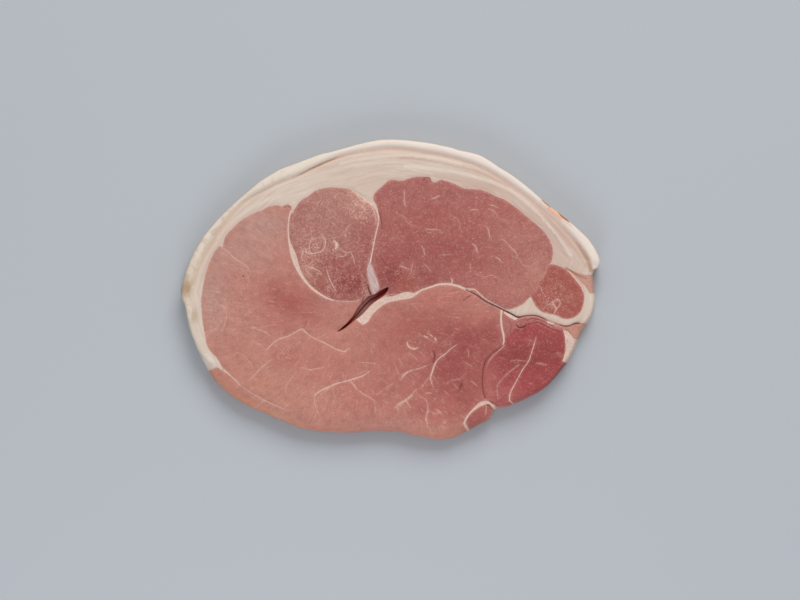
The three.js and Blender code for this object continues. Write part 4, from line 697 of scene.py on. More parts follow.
# ---------------------------------------------------------------- the rim: each column of the wall stands at one outline point
radius = np.hypot(*outline.T)
ray = outline / radius[:, None]
tangent = np.roll(outline, -2, 0) - np.roll(outline, 2, 0)
tangent /= np.hypot(*tangent.T)[:, None]
facing = np.abs(ray[:, 0] * tangent[:, 1] - ray[:, 1] * tangent[:, 0])
lean_ray = np.minimum(1.35, 1 / np.maximum(facing, 0.3))
for _ in range(6):
    lean_ray = (np.roll(lean_ray, 1) + 2 * lean_ray + np.roll(lean_ray, -1)) / 4
angle = np.degrees(np.arctan2(outline[:, 1], outline[:, 0]))
angle = np.where(angle < -90, angle + 360, angle)
rind_share = smooth(4, 9, angle) * (1 - smooth(196, 204, angle))
right = smooth(-66, -52, angle) * (1 - smooth(8, 14, angle))
flare = LEAN_FLARE * ((1 - rind_share) * (1 - 0.62 * right) + 0.28 * rind_share * smooth(150, 185, angle))
crest = np.maximum(1.5, flare + 1.1)


def inset(amount):
    return outline - ray * (amount * lean_ray)[:, None]


# width of the rind at each place along the rim: from the outline to the groove, running out to nothing at both ends
away, at = nearest(groove[::-1], *outline_segments)
rind_arc, rind_width = at[:, 2] * RIM_STEP, away
order = np.argsort(rind_arc)
rind_arc, rind_width = rind_arc[order], rind_width[order]
foot_arc = np.flatnonzero((rind_share > 0.5) & (angle > 100))[-1] * RIM_STEP
rind_arc = np.r_[rind_arc[0] - 5, rind_arc[0] - 2.5, rind_arc, (rind_arc[-1] + foot_arc) / 2, foot_arc - 4, foot_arc + 4]
rind_width = np.r_[-1.0, 0.5, rind_width, 2.3, 1.6, -1.0]


# ---------------------------------------------------------------- fields: what the tissue is at each point of the cut face
def fields(points):
    x, y = points[:, 0], points[:, 1]
    f = {}
    d, at = nearest(points, *outline_segments)
    f["edge"] = d
    f["arc"] = at[:, 2] * RIM_STEP
    d, _ = nearest(points, *segments(cap))
    f["lean"] = np.where(inside(points, fat_ring), -d, d)
    d, at = nearest(points, *segments([groove_fine]))
    f["rind"] = np.interp(f["arc"], rind_arc, rind_width) - f["edge"]
    f["groove"] = d / np.maximum(at[:, 2], 0.1)
    f["groove_s"] = at[:, 3]
    d, at = nearest(points, *segments(seam_lines), width=2)
    f["pale"], f["pale_s"] = d, at[:, 3]
    f["gristle"] = np.zeros(len(points))
    for ring, kind in pockets:
        s = signed(points, ring)
        closer = s < f["pale"]
        f["pale"] = np.where(closer, s, f["pale"])
        f["pale_s"] = np.where(closer, 1.0, f["pale_s"])
        if kind == "tendon":
            f["gristle"] = 1 - smooth(-0.1, 0.5, s)
    d, at = nearest(points, *segments(crack_lines), width=2)
    f["crack"], f["crack_s"] = d, at[:, 3]
    f["flesh"] = np.full(len(points), 9.0)
    for ring in flesh:
        f["flesh"] = np.minimum(f["flesh"], signed(points, ring))
    d, at = nearest(points, *segments(fat_lines), width=2)
    f["fat_tone"] = at[:, 3] * (1 - smooth(-0.2, 0.7, d))
    f["slit"] = signed(points, slit_top)
    where = {name: inside(points, ring) for name, ring in regions.items()}

    lean = np.tile(np.array(LEAN_BASE["leg"], float), (len(points), 1))
    marble = np.full(len(points), MARBLING["leg"])
    busy = np.full(len(points), BUSY["leg"])
    for name, hit in where.items():
        lean[hit] = LEAN_BASE[name]
        marble[hit] = MARBLING[name]
        busy[hit] = BUSY[name]
    other = ~np.any(list(where.values()), axis=0)
    for muscle, bx, by, rx, ry, tint, strength in PATCHES:
        (bx, by), = place([(bx, by)])
        hit = other if muscle == "leg" else where[muscle]
        wob = 1 + 0.25 * noise(x, y, 9, 5, 2)
        w = strength * np.exp(-(((x - bx) / rx) ** 2 + ((y - by) / ry) ** 2) * 0.7 * wob) * hit
        lean += (np.array(TINTS[tint], float) - lean) * w[:, None]
    for bx, by, rx, ry, more in MARBLE_SPOTS:
        (bx, by), = place([(bx, by)])
        marble = marble + more * np.exp(-(((x - bx) / rx) ** 2 + ((y - by) / ry) ** 2))
    f["marble"], f["busy"] = marble, busy
    # fibres run out from the bone in the large muscle; the others are cut straight across theirs
    fx, fy = x + 14 + 4 * noise(x, y, 40, 8, 2), y + 9 + 4 * noise(x, y, 40, 9, 2)
    f["fibre_u"], f["fibre_v"] = np.hypot(fx, fy), 52 * np.arctan2(fy, -np.abs(fx) - 1e-6) * np.sign(fx + 1e-9)
    f["fibre_s"] = np.where(other, 0.40, 0.10) * smooth(6, 20, np.hypot(fx, fy))
    f["lean_rgb"] = lean

    for tissue, base in (("fat", FAT_BASE), ("rind", RIND_BASE)):
        c = np.tile(np.array(base, float), (len(points), 1))
        for kind, bx, by, rx, ry, tint, strength in RIM_PATCHES:
            if kind == tissue:
                (bx, by), = place([(bx, by)])
                w = strength * np.exp(-(((x - bx) / rx) ** 2 + ((y - by) / ry) ** 2) * 0.7)
                c += (np.array(TINTS[tint], float) - c) * w[:, None]
        f[tissue + "_rgb"] = c
    # hide on the left part of the rind is mottled
    f["mottle"] = smooth(-40, -80, x) * smooth(-40, -20, y)
    film = np.array([(*row[:3], *row[3]) for row in WALL_FILM_AND_PAINTED_LIGHT], float)
    _, at = nearest(place(film[:, :2]), *outline_segments)
    row = np.argsort(at[:, 2])
    f["film"] = np.interp(f["arc"], at[row, 2] * RIM_STEP, film[row, 2], period=B * RIM_STEP)
    f["film_and_painted_light_rgb"] = np.stack([np.interp(f["arc"], at[row, 2] * RIM_STEP, film[row, k], period=B * RIM_STEP) for k in (3, 4, 5)], 1)
    return f


def relief(points, f):
    """Height of the upper cut face."""
    x, y = points[:, 0], points[:, 1]
    z = upper_face(x, y)
    # rind: a rounded band above the fat, down into the groove, up again to the fat
    share = np.interp(f["arc"], np.arange(B + 1) * RIM_STEP, np.r_[rind_share, rind_share[0]])
    into = np.clip(f["rind"], 0, None)                    # mm outward from the groove
    hump = smooth(0, 2.2, into) * (1 - 0.35 * smooth(2.5, 6, into))
    z = z + share * RIND_RISE * hump
    z = z - share * (0.35 + 0.45 * f["groove_s"]) * np.exp(-(f["groove"] * 0.8) ** 2)
    fat = 1 - smooth(-0.4, 0.4, f["lean"])
    z = z - 0.22 * np.exp(-(f["lean"] / 0.8) ** 2)
    # long low ridges in the fat, along the rim
    z = z + fat * (1 - share * (f["rind"] > 0)) * 0.10 * noise(f["arc"] / 9, f["edge"], 1.6, 11, 2)
    z = z + f["fat_tone"] * fat * 0.12
    # seams and parted seams
    z = z - 0.22 * f["pale_s"] * (1 - smooth(-0.3, 0.9, f["pale"])) * (f["gristle"] < 0.5)
    z = z + 0.25 * f["gristle"]
    z = z - 0.85 * f["crack_s"] * (1 - smooth(-0.25, 0.40, f["crack"]))
    z = z - 0.55 * (1 - smooth(0, 2.6, f["slit"]))
    # soft unevenness of a hand-cut face
    lean = 1 - fat
    z = z + 0.13 * noise(x, y, 11, 2, 2) + lean * 0.085 * noise(x, y, 3.4, 3, 3) + 0.02 * noise(x, y, 1.3, 4, 2)
    # the face rolls over into the wall
    c = np.interp(f["arc"], np.arange(B + 1) * RIM_STEP, np.r_[crest, crest[0]])
    left = np.clip(f["edge"] - c, 0, None)
    z = z - (1 - share) * 0.55 * (1 - smooth(0, 3.0, left)) - share * 0.12 * (1 - smooth(0, 1.4, left))
    return z


# ---------------------------------------------------------------- meshes of the two cut faces
def lattice(step, ring):
    lo, hi = ring.min(0), ring.max(0)
    rows = []
    for j, y in enumerate(np.arange(lo[1], hi[1], step * 0.866)):
        xs = np.arange(lo[0] + (j % 2) * step / 2, hi[0], step)
        rows.append(np.c_[xs, np.full(len(xs), y)])
    p = np.vstack(rows)
    p = p + np.random.RandomState(7).uniform(-0.12, 0.12, p.shape) * step
    return p[inside(p, ring)]


def clear(points, others, gap):
    """Which points keep that distance to all of others, by a grid hash."""
    keep = np.ones(len(points), bool)
    cell = {}
    for q in others:
        cell.setdefault((int(q[0] // gap), int(q[1] // gap)), []).append(q)
    for i, p in enumerate(points):
        cx, cy = int(p[0] // gap), int(p[1] // gap)
        for dx in (-1, 0, 1):
            for dy in (-1, 0, 1):
                for q in cell.get((cx + dx, cy + dy), ()):
                    if (p[0] - q[0]) ** 2 + (p[1] - q[1]) ** 2 < gap * gap:
                        keep[i] = False
    return keep


def cut_face(ring, hole, step, fine):
    """A triangulated face between the outer ring and the slit, with the seams as edges. Returns points and triangles: ring first, then hole."""
    verts = [ring, hole]
    n = len(ring)
    edges = [(i, (i + 1) % n) for i in range(n)] + [(n + i, n + (i + 1) % len(hole)) for i in range(len(hole))]
    count = n + len(hole)
    ring_segments = segments([ring], True)
    hole_segments = segments([hole], True)
    lines = [*cap, groove] + [l[:, :2] for l in seam_lines + crack_lines]
    lines += [np.vstack([r, r[:1]]) for r, _ in pockets] + [np.vstack([r, r[:1]]) for r in flesh]
    taken = []
    side_points = []
    for line in lines:
        q = line if fine else line[:: max(1, int(step / 0.7))]
        if len(q) < 2:
            continue
        d1, _ = nearest(q, *ring_segments)
        d2, _ = nearest(q, *hole_segments)
        ok = (d1 > 0.45) & (d2 > 0.35) & inside(q, ring) & ~inside(q, hole)
        if taken:
            ok &= clear(q, taken, 0.22)
        start = None
        for i in range(len(q)):
            if ok[i]:
                verts.append(q[i:i + 1])
                if start is not None:
                    edges.append((count - 1, count))
                start = i
                count += 1
            else:
                start = None
        taken.extend(q[ok])
    taken_array = list(map(tuple, np.vstack(taken)))
    if fine:
        for l in seam_lines + crack_lines:
            t = np.gradient(l[:, :2], axis=0)
            nrm = np.c_[-t[:, 1], t[:, 0]] / np.maximum(np.hypot(*t.T), 1e-9)[:, None]
            for sign in (-1, 1):
                side_points.append(l[:, :2] + sign * nrm * (l[:, 2:3] + 0.28))
        sp = np.vstack(side_points)
        d1, _ = nearest(sp, *ring_segments)
        d2, _ = nearest(sp, *hole_segments)
        sp = sp[(d1 > 0.45) & (d2 > 0.35) & inside(sp, ring) & ~inside(sp, hole)]
        sp = sp[clear(sp, taken_array, 0.24)]
        kept, grid = [], {}
        for p in sp:
            key = (int(p[0] // 0.3), int(p[1] // 0.3))
            near = [q for dx in (-1, 0, 1) for dy in (-1, 0, 1) for q in grid.get((key[0] + dx, key[1] + dy), ())]
            if all((p[0] - q[0]) ** 2 + (p[1] - q[1]) ** 2 > 0.09 for q in near):
                grid.setdefault(key, []).append(p)
                kept.append(p)
        verts.append(np.array(kept))
        taken_array += list(map(tuple, kept))
    p = lattice(step, ring)
    p = p[~inside(p, hole)]
    d1, _ = nearest(p, *ring_segments)
    d2, _ = nearest(p, *hole_segments)
    p = p[(d1 > step * 0.5) & (d2 > min(step, 0.8) * 0.5)]
    p = p[clear(p, taken_array, min(step, 1.0) * 0.5)]
    verts.append(p)
    verts = np.vstack(verts)
    out, _, faces, origin, _, _ = delaunay_2d_cdt([Vector(v) for v in verts], edges, [], 1, 1e-6, True)
    out = np.array([tuple(v) for v in out])
    tri = np.array(faces)
    centre = out[tri].mean(1)
    tri = tri[inside(centre, ring) & ~inside(centre, hole)]
    # put ring and hole first, in their own order
    number = np.full(len(out), -1)
    for k, ids in enumerate(origin):
        for i in ids:
            if i < n + len(hole):
                number[k] = i
    rest = np.flatnonzero(number < 0)
    number[rest] = n + len(hole) + np.arange(len(rest))
    points = np.empty_like(out)
    points[number] = out
    tri = number[tri]
    area = np.cross(points[tri[:, 1]] - points[tri[:, 0]], points[tri[:, 2]] - points[tri[:, 0]])
    tri[area < 0] = tri[area < 0][:, ::-1]
    used = np.zeros(len(points), bool)
    used[tri] = True
    assert used[: n + len(hole)].all(), "a rim point was lost"
    new = np.cumsum(used) - 1
    return points[used], new[tri]


top_ring = inset(crest)
foot_ring = inset(np.full(B, FOOT_ROUND))
top, top_tri = cut_face(top_ring, slit_top, TOP_STEP, True)
slit_foot = slit_ring(0.06)               # the flesh closes up below, all but a hair's breadth
under, under_tri = cut_face(foot_ring, slit_foot, UNDER_STEP, False)
print("faces", len(top_tri), len(under_tri), "rim", B, "slit", S)

top_f = fields(top)
top_z = relief(top, top_f)
under_f = fields(under)

# the seams wander a little through the thickness, so the rest face isn't a copy of the upper one
e = smooth(3, 16, under_f["edge"])[:, None] * smooth(0.5, 5, under_f["slit"])[:, None]
drift = np.c_[noise(under[:, 0], under[:, 1], 34, 21, 2), noise(under[:, 0], under[:, 1], 34, 22, 2)] * 3.2
under_xy = under + drift * e
under_z = 0.22 * under_f["crack_s"] * (1 - smooth(-0.2, 0.7, under_f["crack"])) + 0.10 * (1 - smooth(0, 0.9, np.abs(under_f["lean"])))
under_z = (under_z + 0.08 * np.clip(noise(under[:, 0], under[:, 1], 9, 23, 2), 0, 1)) * smooth(1.5, 4, under_f["edge"])

# ---------------------------------------------------------------- the wall round the rim
PROFILE = [
    # how far down, inset under the rind, height; share of the flare, inset on the lean side, height (a negative height is below the crest)
    (0.00, 1.50, None, 1.00, 1.10, None),
    (0.05, 1.05, -0.10, 1.00, 0.50, -0.12),
    (0.10, 0.66, -0.34, 0.93, 0.10, -0.38),
    (0.16, 0.34, -0.78, 0.78, 0.00, -0.75),
    (0.23, 0.12, -1.50, 0.60, 0.00, -1.22),
    (0.32, 0.02, 9.30, 0.42, 0.00, -1.85),
    (0.42, 0.00, 8.10, 0.25, 0.00, -2.75),
    (0.52, 0.00, 6.80, 0.11, 0.00, -3.90),
    (0.62, 0.02, 5.40, 0.03, 0.00, 6.80),
    (0.71, 0.06, 4.00, 0.00, 0.05, 5.00),
    (0.79, 0.16, 2.70, 0.00, 0.22, 3.30),
    (0.86, 0.36, 1.55, 0.00, 0.50, 1.90),
    (0.92, 0.66, 0.72, 0.00, 0.85, 0.90),
    (0.97, 1.06, 0.20, 0.00, 1.15, 0.26),
    (1.00, 1.50, 0.00, 0.00, 1.50, 0.00),
]
arc = np.arange(B) * RIM_STEP
z_crest = top_z[:B]
rings_xy, rings_z, rings_t = [top[:B]], [z_crest], [0.0]
for t, ri, rz, share, li, lz in PROFILE[1:-1]:
    i = rind_share * ri + (1 - rind_share) * (share * flare + li)
    zr = z_crest + rz if rz < 0 else np.full(B, rz)
    zl = z_crest + lz if lz < 0 else np.full(B, lz)
    z = rind_share * zr + (1 - rind_share) * zl
    body = np.sin(np.pi * min(1, t * 1.1)) if t < 0.91 else 0.4
    bump = 0.20 * noise(arc, z * 0.7, 7, 31, 3) + 0.06 * noise(arc, z * 1.2, 1.8, 32, 2)
    bump = bump * body * (0.55 + 0.75 * (1 - rind_share))
    seam_dent = 0.25 * top_f["crack_s"][:B] * (1 - smooth(-0.2, 1.0, top_f["crack"][:B])) * body
    xy = inset(i - bump + seam_dent + 0.12)
    rings_xy.append(xy)
    rings_z.append(np.minimum(z, z_crest))
    rings_t.append(t)
rings_xy.append(under_xy[:B])
rings_z.append(under_z[:B])
rings_t.append(1.0)
R = len(rings_xy)

# the slit's walls, from the lip to the rest face
slit_rings = [(top[B:B + S], top_z[B:B + S])]
for k, (share, depth) in enumerate(((0.985, 0.03), (0.93, 0.07), (0.85, 0.115), (0.73, 0.155), (0.56, 0.185), (0.36, 0.205), (0.16, 0.225), (0.07, 0.30), (0.06, 0.50), (0.06, 0.72), (0.06, 0.88))):
    ring = slit_ring(share)
    wob = 0.16 * share * noise(ring[:, 0] * 1.5 + ring[:, 1], np.full(S, depth * 24.0), 2.2, 41 + k % 3, 2)
    m = np.vstack([slit_mid[:, :2], slit_mid[::-1, :2]])
    out = ring - m
    length = np.maximum(np.hypot(*out.T), 1e-6)[:, None]
    ring = m + out * np.clip(1 + wob[:, None] / length, 0.6, 1.15)
    slit_rings.append((ring, slit_rings[0][1] * (1 - depth)))
slit_rings.append((under_xy[B:B + S], under_z[B:B + S]))

# ---------------------------------------------------------------- one closed mesh
position, groups = [], []
position.append(np.c_[top, top_z])
n_top = len(top)
for xy, z in zip(rings_xy[1:-1], rings_z[1:-1]):
    position.append(np.c_[xy, z])
n_side = B * (R - 2)
for xy, z in slit_rings[1:-1]:
    position.append(np.c_[xy, z])
n_slit = S * (len(slit_rings) - 2)
position.append(np.c_[under_xy, under_z])
position = np.vstack(position)
first_side, first_slit, first_under = n_top, n_top + n_side, n_top + n_side + n_slit


def side_index(r, j):
    j = j % B
    return np.where(r == 0, j, np.where(r == R - 1, first_under + j, first_side + (r - 1) * B + j))


def slit_index(r, j):
    j = j % S
    last = len(slit_rings) - 1
    return np.where(r == 0, B + j, np.where(r == last, first_under + B + j, first_slit + (r - 1) * S + j))


def bands(count, length, index):
    r, j = np.meshgrid(np.arange(count - 1), np.arange(length), indexing="ij")
    r, j = r.ravel(), j.ravel()
    return np.stack([index(r, j), index(r + 1, j), index(r + 1, j + 1), index(r, j + 1)], 1), r, j


side_quads, side_r, side_j = bands(R, B, side_index)
slit_quads, slit_r, slit_j = bands(len(slit_rings), S, slit_index)
slit_quads = slit_quads[:, ::-1]

# each vertex's fields: the wall and the slit carry the tissue of the rim above them
side_columns = np.tile(np.arange(B), R - 2)
slit_columns = np.tile(np.arange(S), len(slit_rings) - 2) + B
data = {}
for name in top_f:
    data[name] = np.concatenate([top_f[name], top_f[name][side_columns], top_f[name][slit_columns], under_f[name]])
side_t = np.repeat(rings_t[1:-1], B)
# the slit's walls take the painted shade colours along x
slit_shade_rows = np.array(SLIT_PAINTED_SHADE, float)
x_slit = position[first_slit:first_under, 0] + middle[0]
data["lean_rgb"][first_slit:first_under] = np.stack([np.interp(x_slit, slit_shade_rows[:, 0], slit_shade_rows[:, k]) for k in (1, 2, 3)], 1)
wall = np.concatenate([np.zeros(n_top), smooth(0.02, 0.30, side_t), np.zeros(n_slit), np.zeros(len(under))])
wall[first_under:first_under + B] = 1.0
data["wall"] = wall
share_all = np.interp(data["arc"], np.arange(B + 1) * RIM_STEP, np.r_[rind_share, rind_share[0]])
data["hide"] = wall * share_all
drop = np.zeros(len(position))
drop[:n_top] = 0
drop[first_side:first_slit] = np.repeat([13 * t for t in rings_t[1:-1]], B)
drop[first_under:first_under + B] = 13.0
data["drop"] = drop
# deep: how far into the slit, which sets the painted shade there
deep = np.concatenate([
    0.55 * (1 - smooth(-0.1, 0.5, top_f["slit"])), np.zeros(n_side),
    np.repeat([min(1.0, 0.75 + 0.08 * k) for k in range(len(slit_rings) - 2)], S), 0.8 * (1 - smooth(-0.2, 0.5, under_f["slit"]))])
data["deep"] = deep
# rim points of the under face keep the rim's own tissue
for name in ("lean", "rind", "pale", "pale_s", "crack", "crack_s", "flesh"):
    data[name][first_under:first_under + B] = top_f[name][:B]

tri_faces = [top_tri.tolist(), (under_tri + first_under)[:, ::-1].tolist()]
faces = tri_faces[0] + side_quads.tolist() + slit_quads.tolist() + tri_faces[1]
mesh = bpy.data.meshes.new("gammon_steak_visual")
mesh.from_pydata((position / 1000).tolist(), [], faces)
mesh.update()

# ---------------------------------------------------------------- attributes and the unwrap
for name, values in data.items():
    if name.endswith("_rgb"):
        a = mesh.attributes.new(name, "FLOAT_COLOR", "POINT")
        flat = linear(values)
        if name == "lean_rgb":
            flat = np.clip(flat * LEAN_GAIN - 0.006, 0.004, 1)      # the wet sheen on top adds the rest
        a.data.foreach_set("color", np.c_[flat, np.ones(len(flat))].astype(np.float32).ravel())
    else:
        a = mesh.attributes.new(name, "FLOAT", "POINT")
        a.data.foreach_set("value", np.asarray(values, np.float32))

uv = []
scale = 0.988 / LENGTH
flat = lambda p, s, u0, v0: np.c_[u0 + (p[:, 0] + LENGTH / 2) * s, v0 + (p[:, 1] + WIDTH / 2) * s]
uv_top = flat(position[:, :2], scale, 0.006, 0.286)
uv.append(uv_top[top_tri].reshape(-1, 2))
strips, per = 3, int(np.ceil(B / 3))
corner_r = np.stack([side_r, side_r + 1, side_r + 1, side_r], 1)
corner_j = np.stack([side_j, side_j, side_j + 1, side_j + 1], 1)
strip = side_j // per
down = np.array(rings_t)[corner_r]
uv.append(np.stack([0.402 + 0.59 * (corner_j - (strip * per)[:, None]) / per, 0.008 + 0.062 * strip[:, None] + 0.050 * (1 - down)], 2).reshape(-1, 2))
last = len(slit_rings) - 1
corner_r = np.stack([slit_r, slit_r + 1, slit_r + 1, slit_r], 1)[:, ::-1]
corner_j = np.stack([slit_j, slit_j, slit_j + 1, slit_j + 1], 1)[:, ::-1]
uv.append(np.stack([0.402 + 0.4 * corner_j / S, 0.205 + 0.06 * corner_r / last], 2).reshape(-1, 2))
uv_under = flat(position[:, :2] * (1, 1), 0.385 / LENGTH, 0.006, 0.004)
uv.append(uv_under[(under_tri + first_under)[:, ::-1]].reshape(-1, 2))
layer = mesh.uv_layers.new(name="OFBake")
layer.data.foreach_set("uv", np.vstack(uv).astype(np.float32).ravel())
mesh.shade_smooth()
steak = bpy.data.objects.new("gammon_steak_slice", mesh)
bpy.context.scene.collection.objects.link(steak)


# ---------------------------------------------------------------- materials
class Net:
    """Short names for the nodes of one material."""

    def __init__(self, name):
        self.material = bpy.data.materials.new(name)
        self.material.use_nodes = True
        self.tree = self.material.node_tree
        self.tree.nodes.clear()
        self.cache = {}

    def node(self, kind, **settings):
        n = self.tree.nodes.new(kind)
        for k, v in settings.items():
            setattr(n, k, v)
        return n

    def join(self, value, socket):
        if isinstance(value, bpy.types.NodeSocket):
            self.tree.links.new(value, socket)
        elif value is not None:
            socket.default_value = value

    def math(self, op, a, b=None, c=None, clamp=False):
        n = self.node("ShaderNodeMath", operation=op, use_clamp=clamp)
        for i, v in enumerate((a, b, c)):
            if v is not None:
                self.join(v, n.inputs[i])
        return n.outputs[0]

    def add(self, a, b): return self.math("ADD", a, b)
    def mul(self, a, b): return self.math("MULTIPLY", a, b)

    def vec(self, op, a, b=None, scale=None):
        n = self.node("ShaderNodeVectorMath", operation=op)
        self.join(a, n.inputs[0])
        if b is not None:
            self.join(b, n.inputs[1])
        if scale is not None:
            self.join(scale, n.inputs["Scale"])
        return n.outputs["Vector"]

    def value(self, name):
        if name not in self.cache:
            self.cache[name] = self.node("ShaderNodeAttribute", attribute_type="GEOMETRY", attribute_name=name)
        return self.cache[name].outputs["Fac"]

    def colour(self, name):
        if name not in self.cache:
            self.cache[name] = self.node("ShaderNodeAttribute", attribute_type="GEOMETRY", attribute_name=name)
        return self.cache[name].outputs["Color"]

    def step(self, v, a, b, to=(0.0, 1.0)):
        """A smooth step from a to b, which may run downwards."""
        n = self.node("ShaderNodeMapRange", interpolation_type="SMOOTHSTEP", clamp=True)
        self.join(v, n.inputs["Value"])
        lo, hi = (a, b) if a < b else (b, a)
        out = to if a < b else (to[1], to[0])
        n.inputs["From Min"].default_value, n.inputs["From Max"].default_value = lo, hi
        n.inputs["To Min"].default_value, n.inputs["To Max"].default_value = out
        return n.outputs["Result"]

    def noise(self, at, scale, detail=2.0, rough=0.5, distortion=0.0, kind="Fac"):
        n = self.node("ShaderNodeTexNoise", noise_dimensions="3D")
        self.join(at, n.inputs["Vector"])
        n.inputs["Scale"].default_value = scale
        n.inputs["Detail"].default_value = detail
        n.inputs["Roughness"].default_value = rough
        n.inputs["Distortion"].default_value = distortion
        return n.outputs[kind]

    def cells(self, at, scale, feature="DISTANCE_TO_EDGE", randomness=1.0, out="Distance"):
        n = self.node("ShaderNodeTexVoronoi", voronoi_dimensions="3D", feature=feature)
        self.join(at, n.inputs["Vector"])
        n.inputs["Scale"].default_value = scale
        n.inputs["Randomness"].default_value = randomness
        return n.outputs[out]

    def mix(self, share, a, b, blend="MIX"):
        n = self.node("ShaderNodeMix", data_type="RGBA", blend_type=blend, clamp_factor=True)
        self.join(share, n.inputs[0])
        self.join((*a, 1) if isinstance(a, tuple) else a, n.inputs[6])
        self.join((*b, 1) if isinstance(b, tuple) else b, n.inputs[7])
        return n.outputs[2]

    def combine(self, x, y, z):
        n = self.node("ShaderNodeCombineXYZ")
        for i, v in enumerate((x, y, z)):
            self.join(v, n.inputs[i])
        return n.outputs[0]


def rgb(r, g, b):
    return tuple(float(c) for c in linear((r, g, b)))


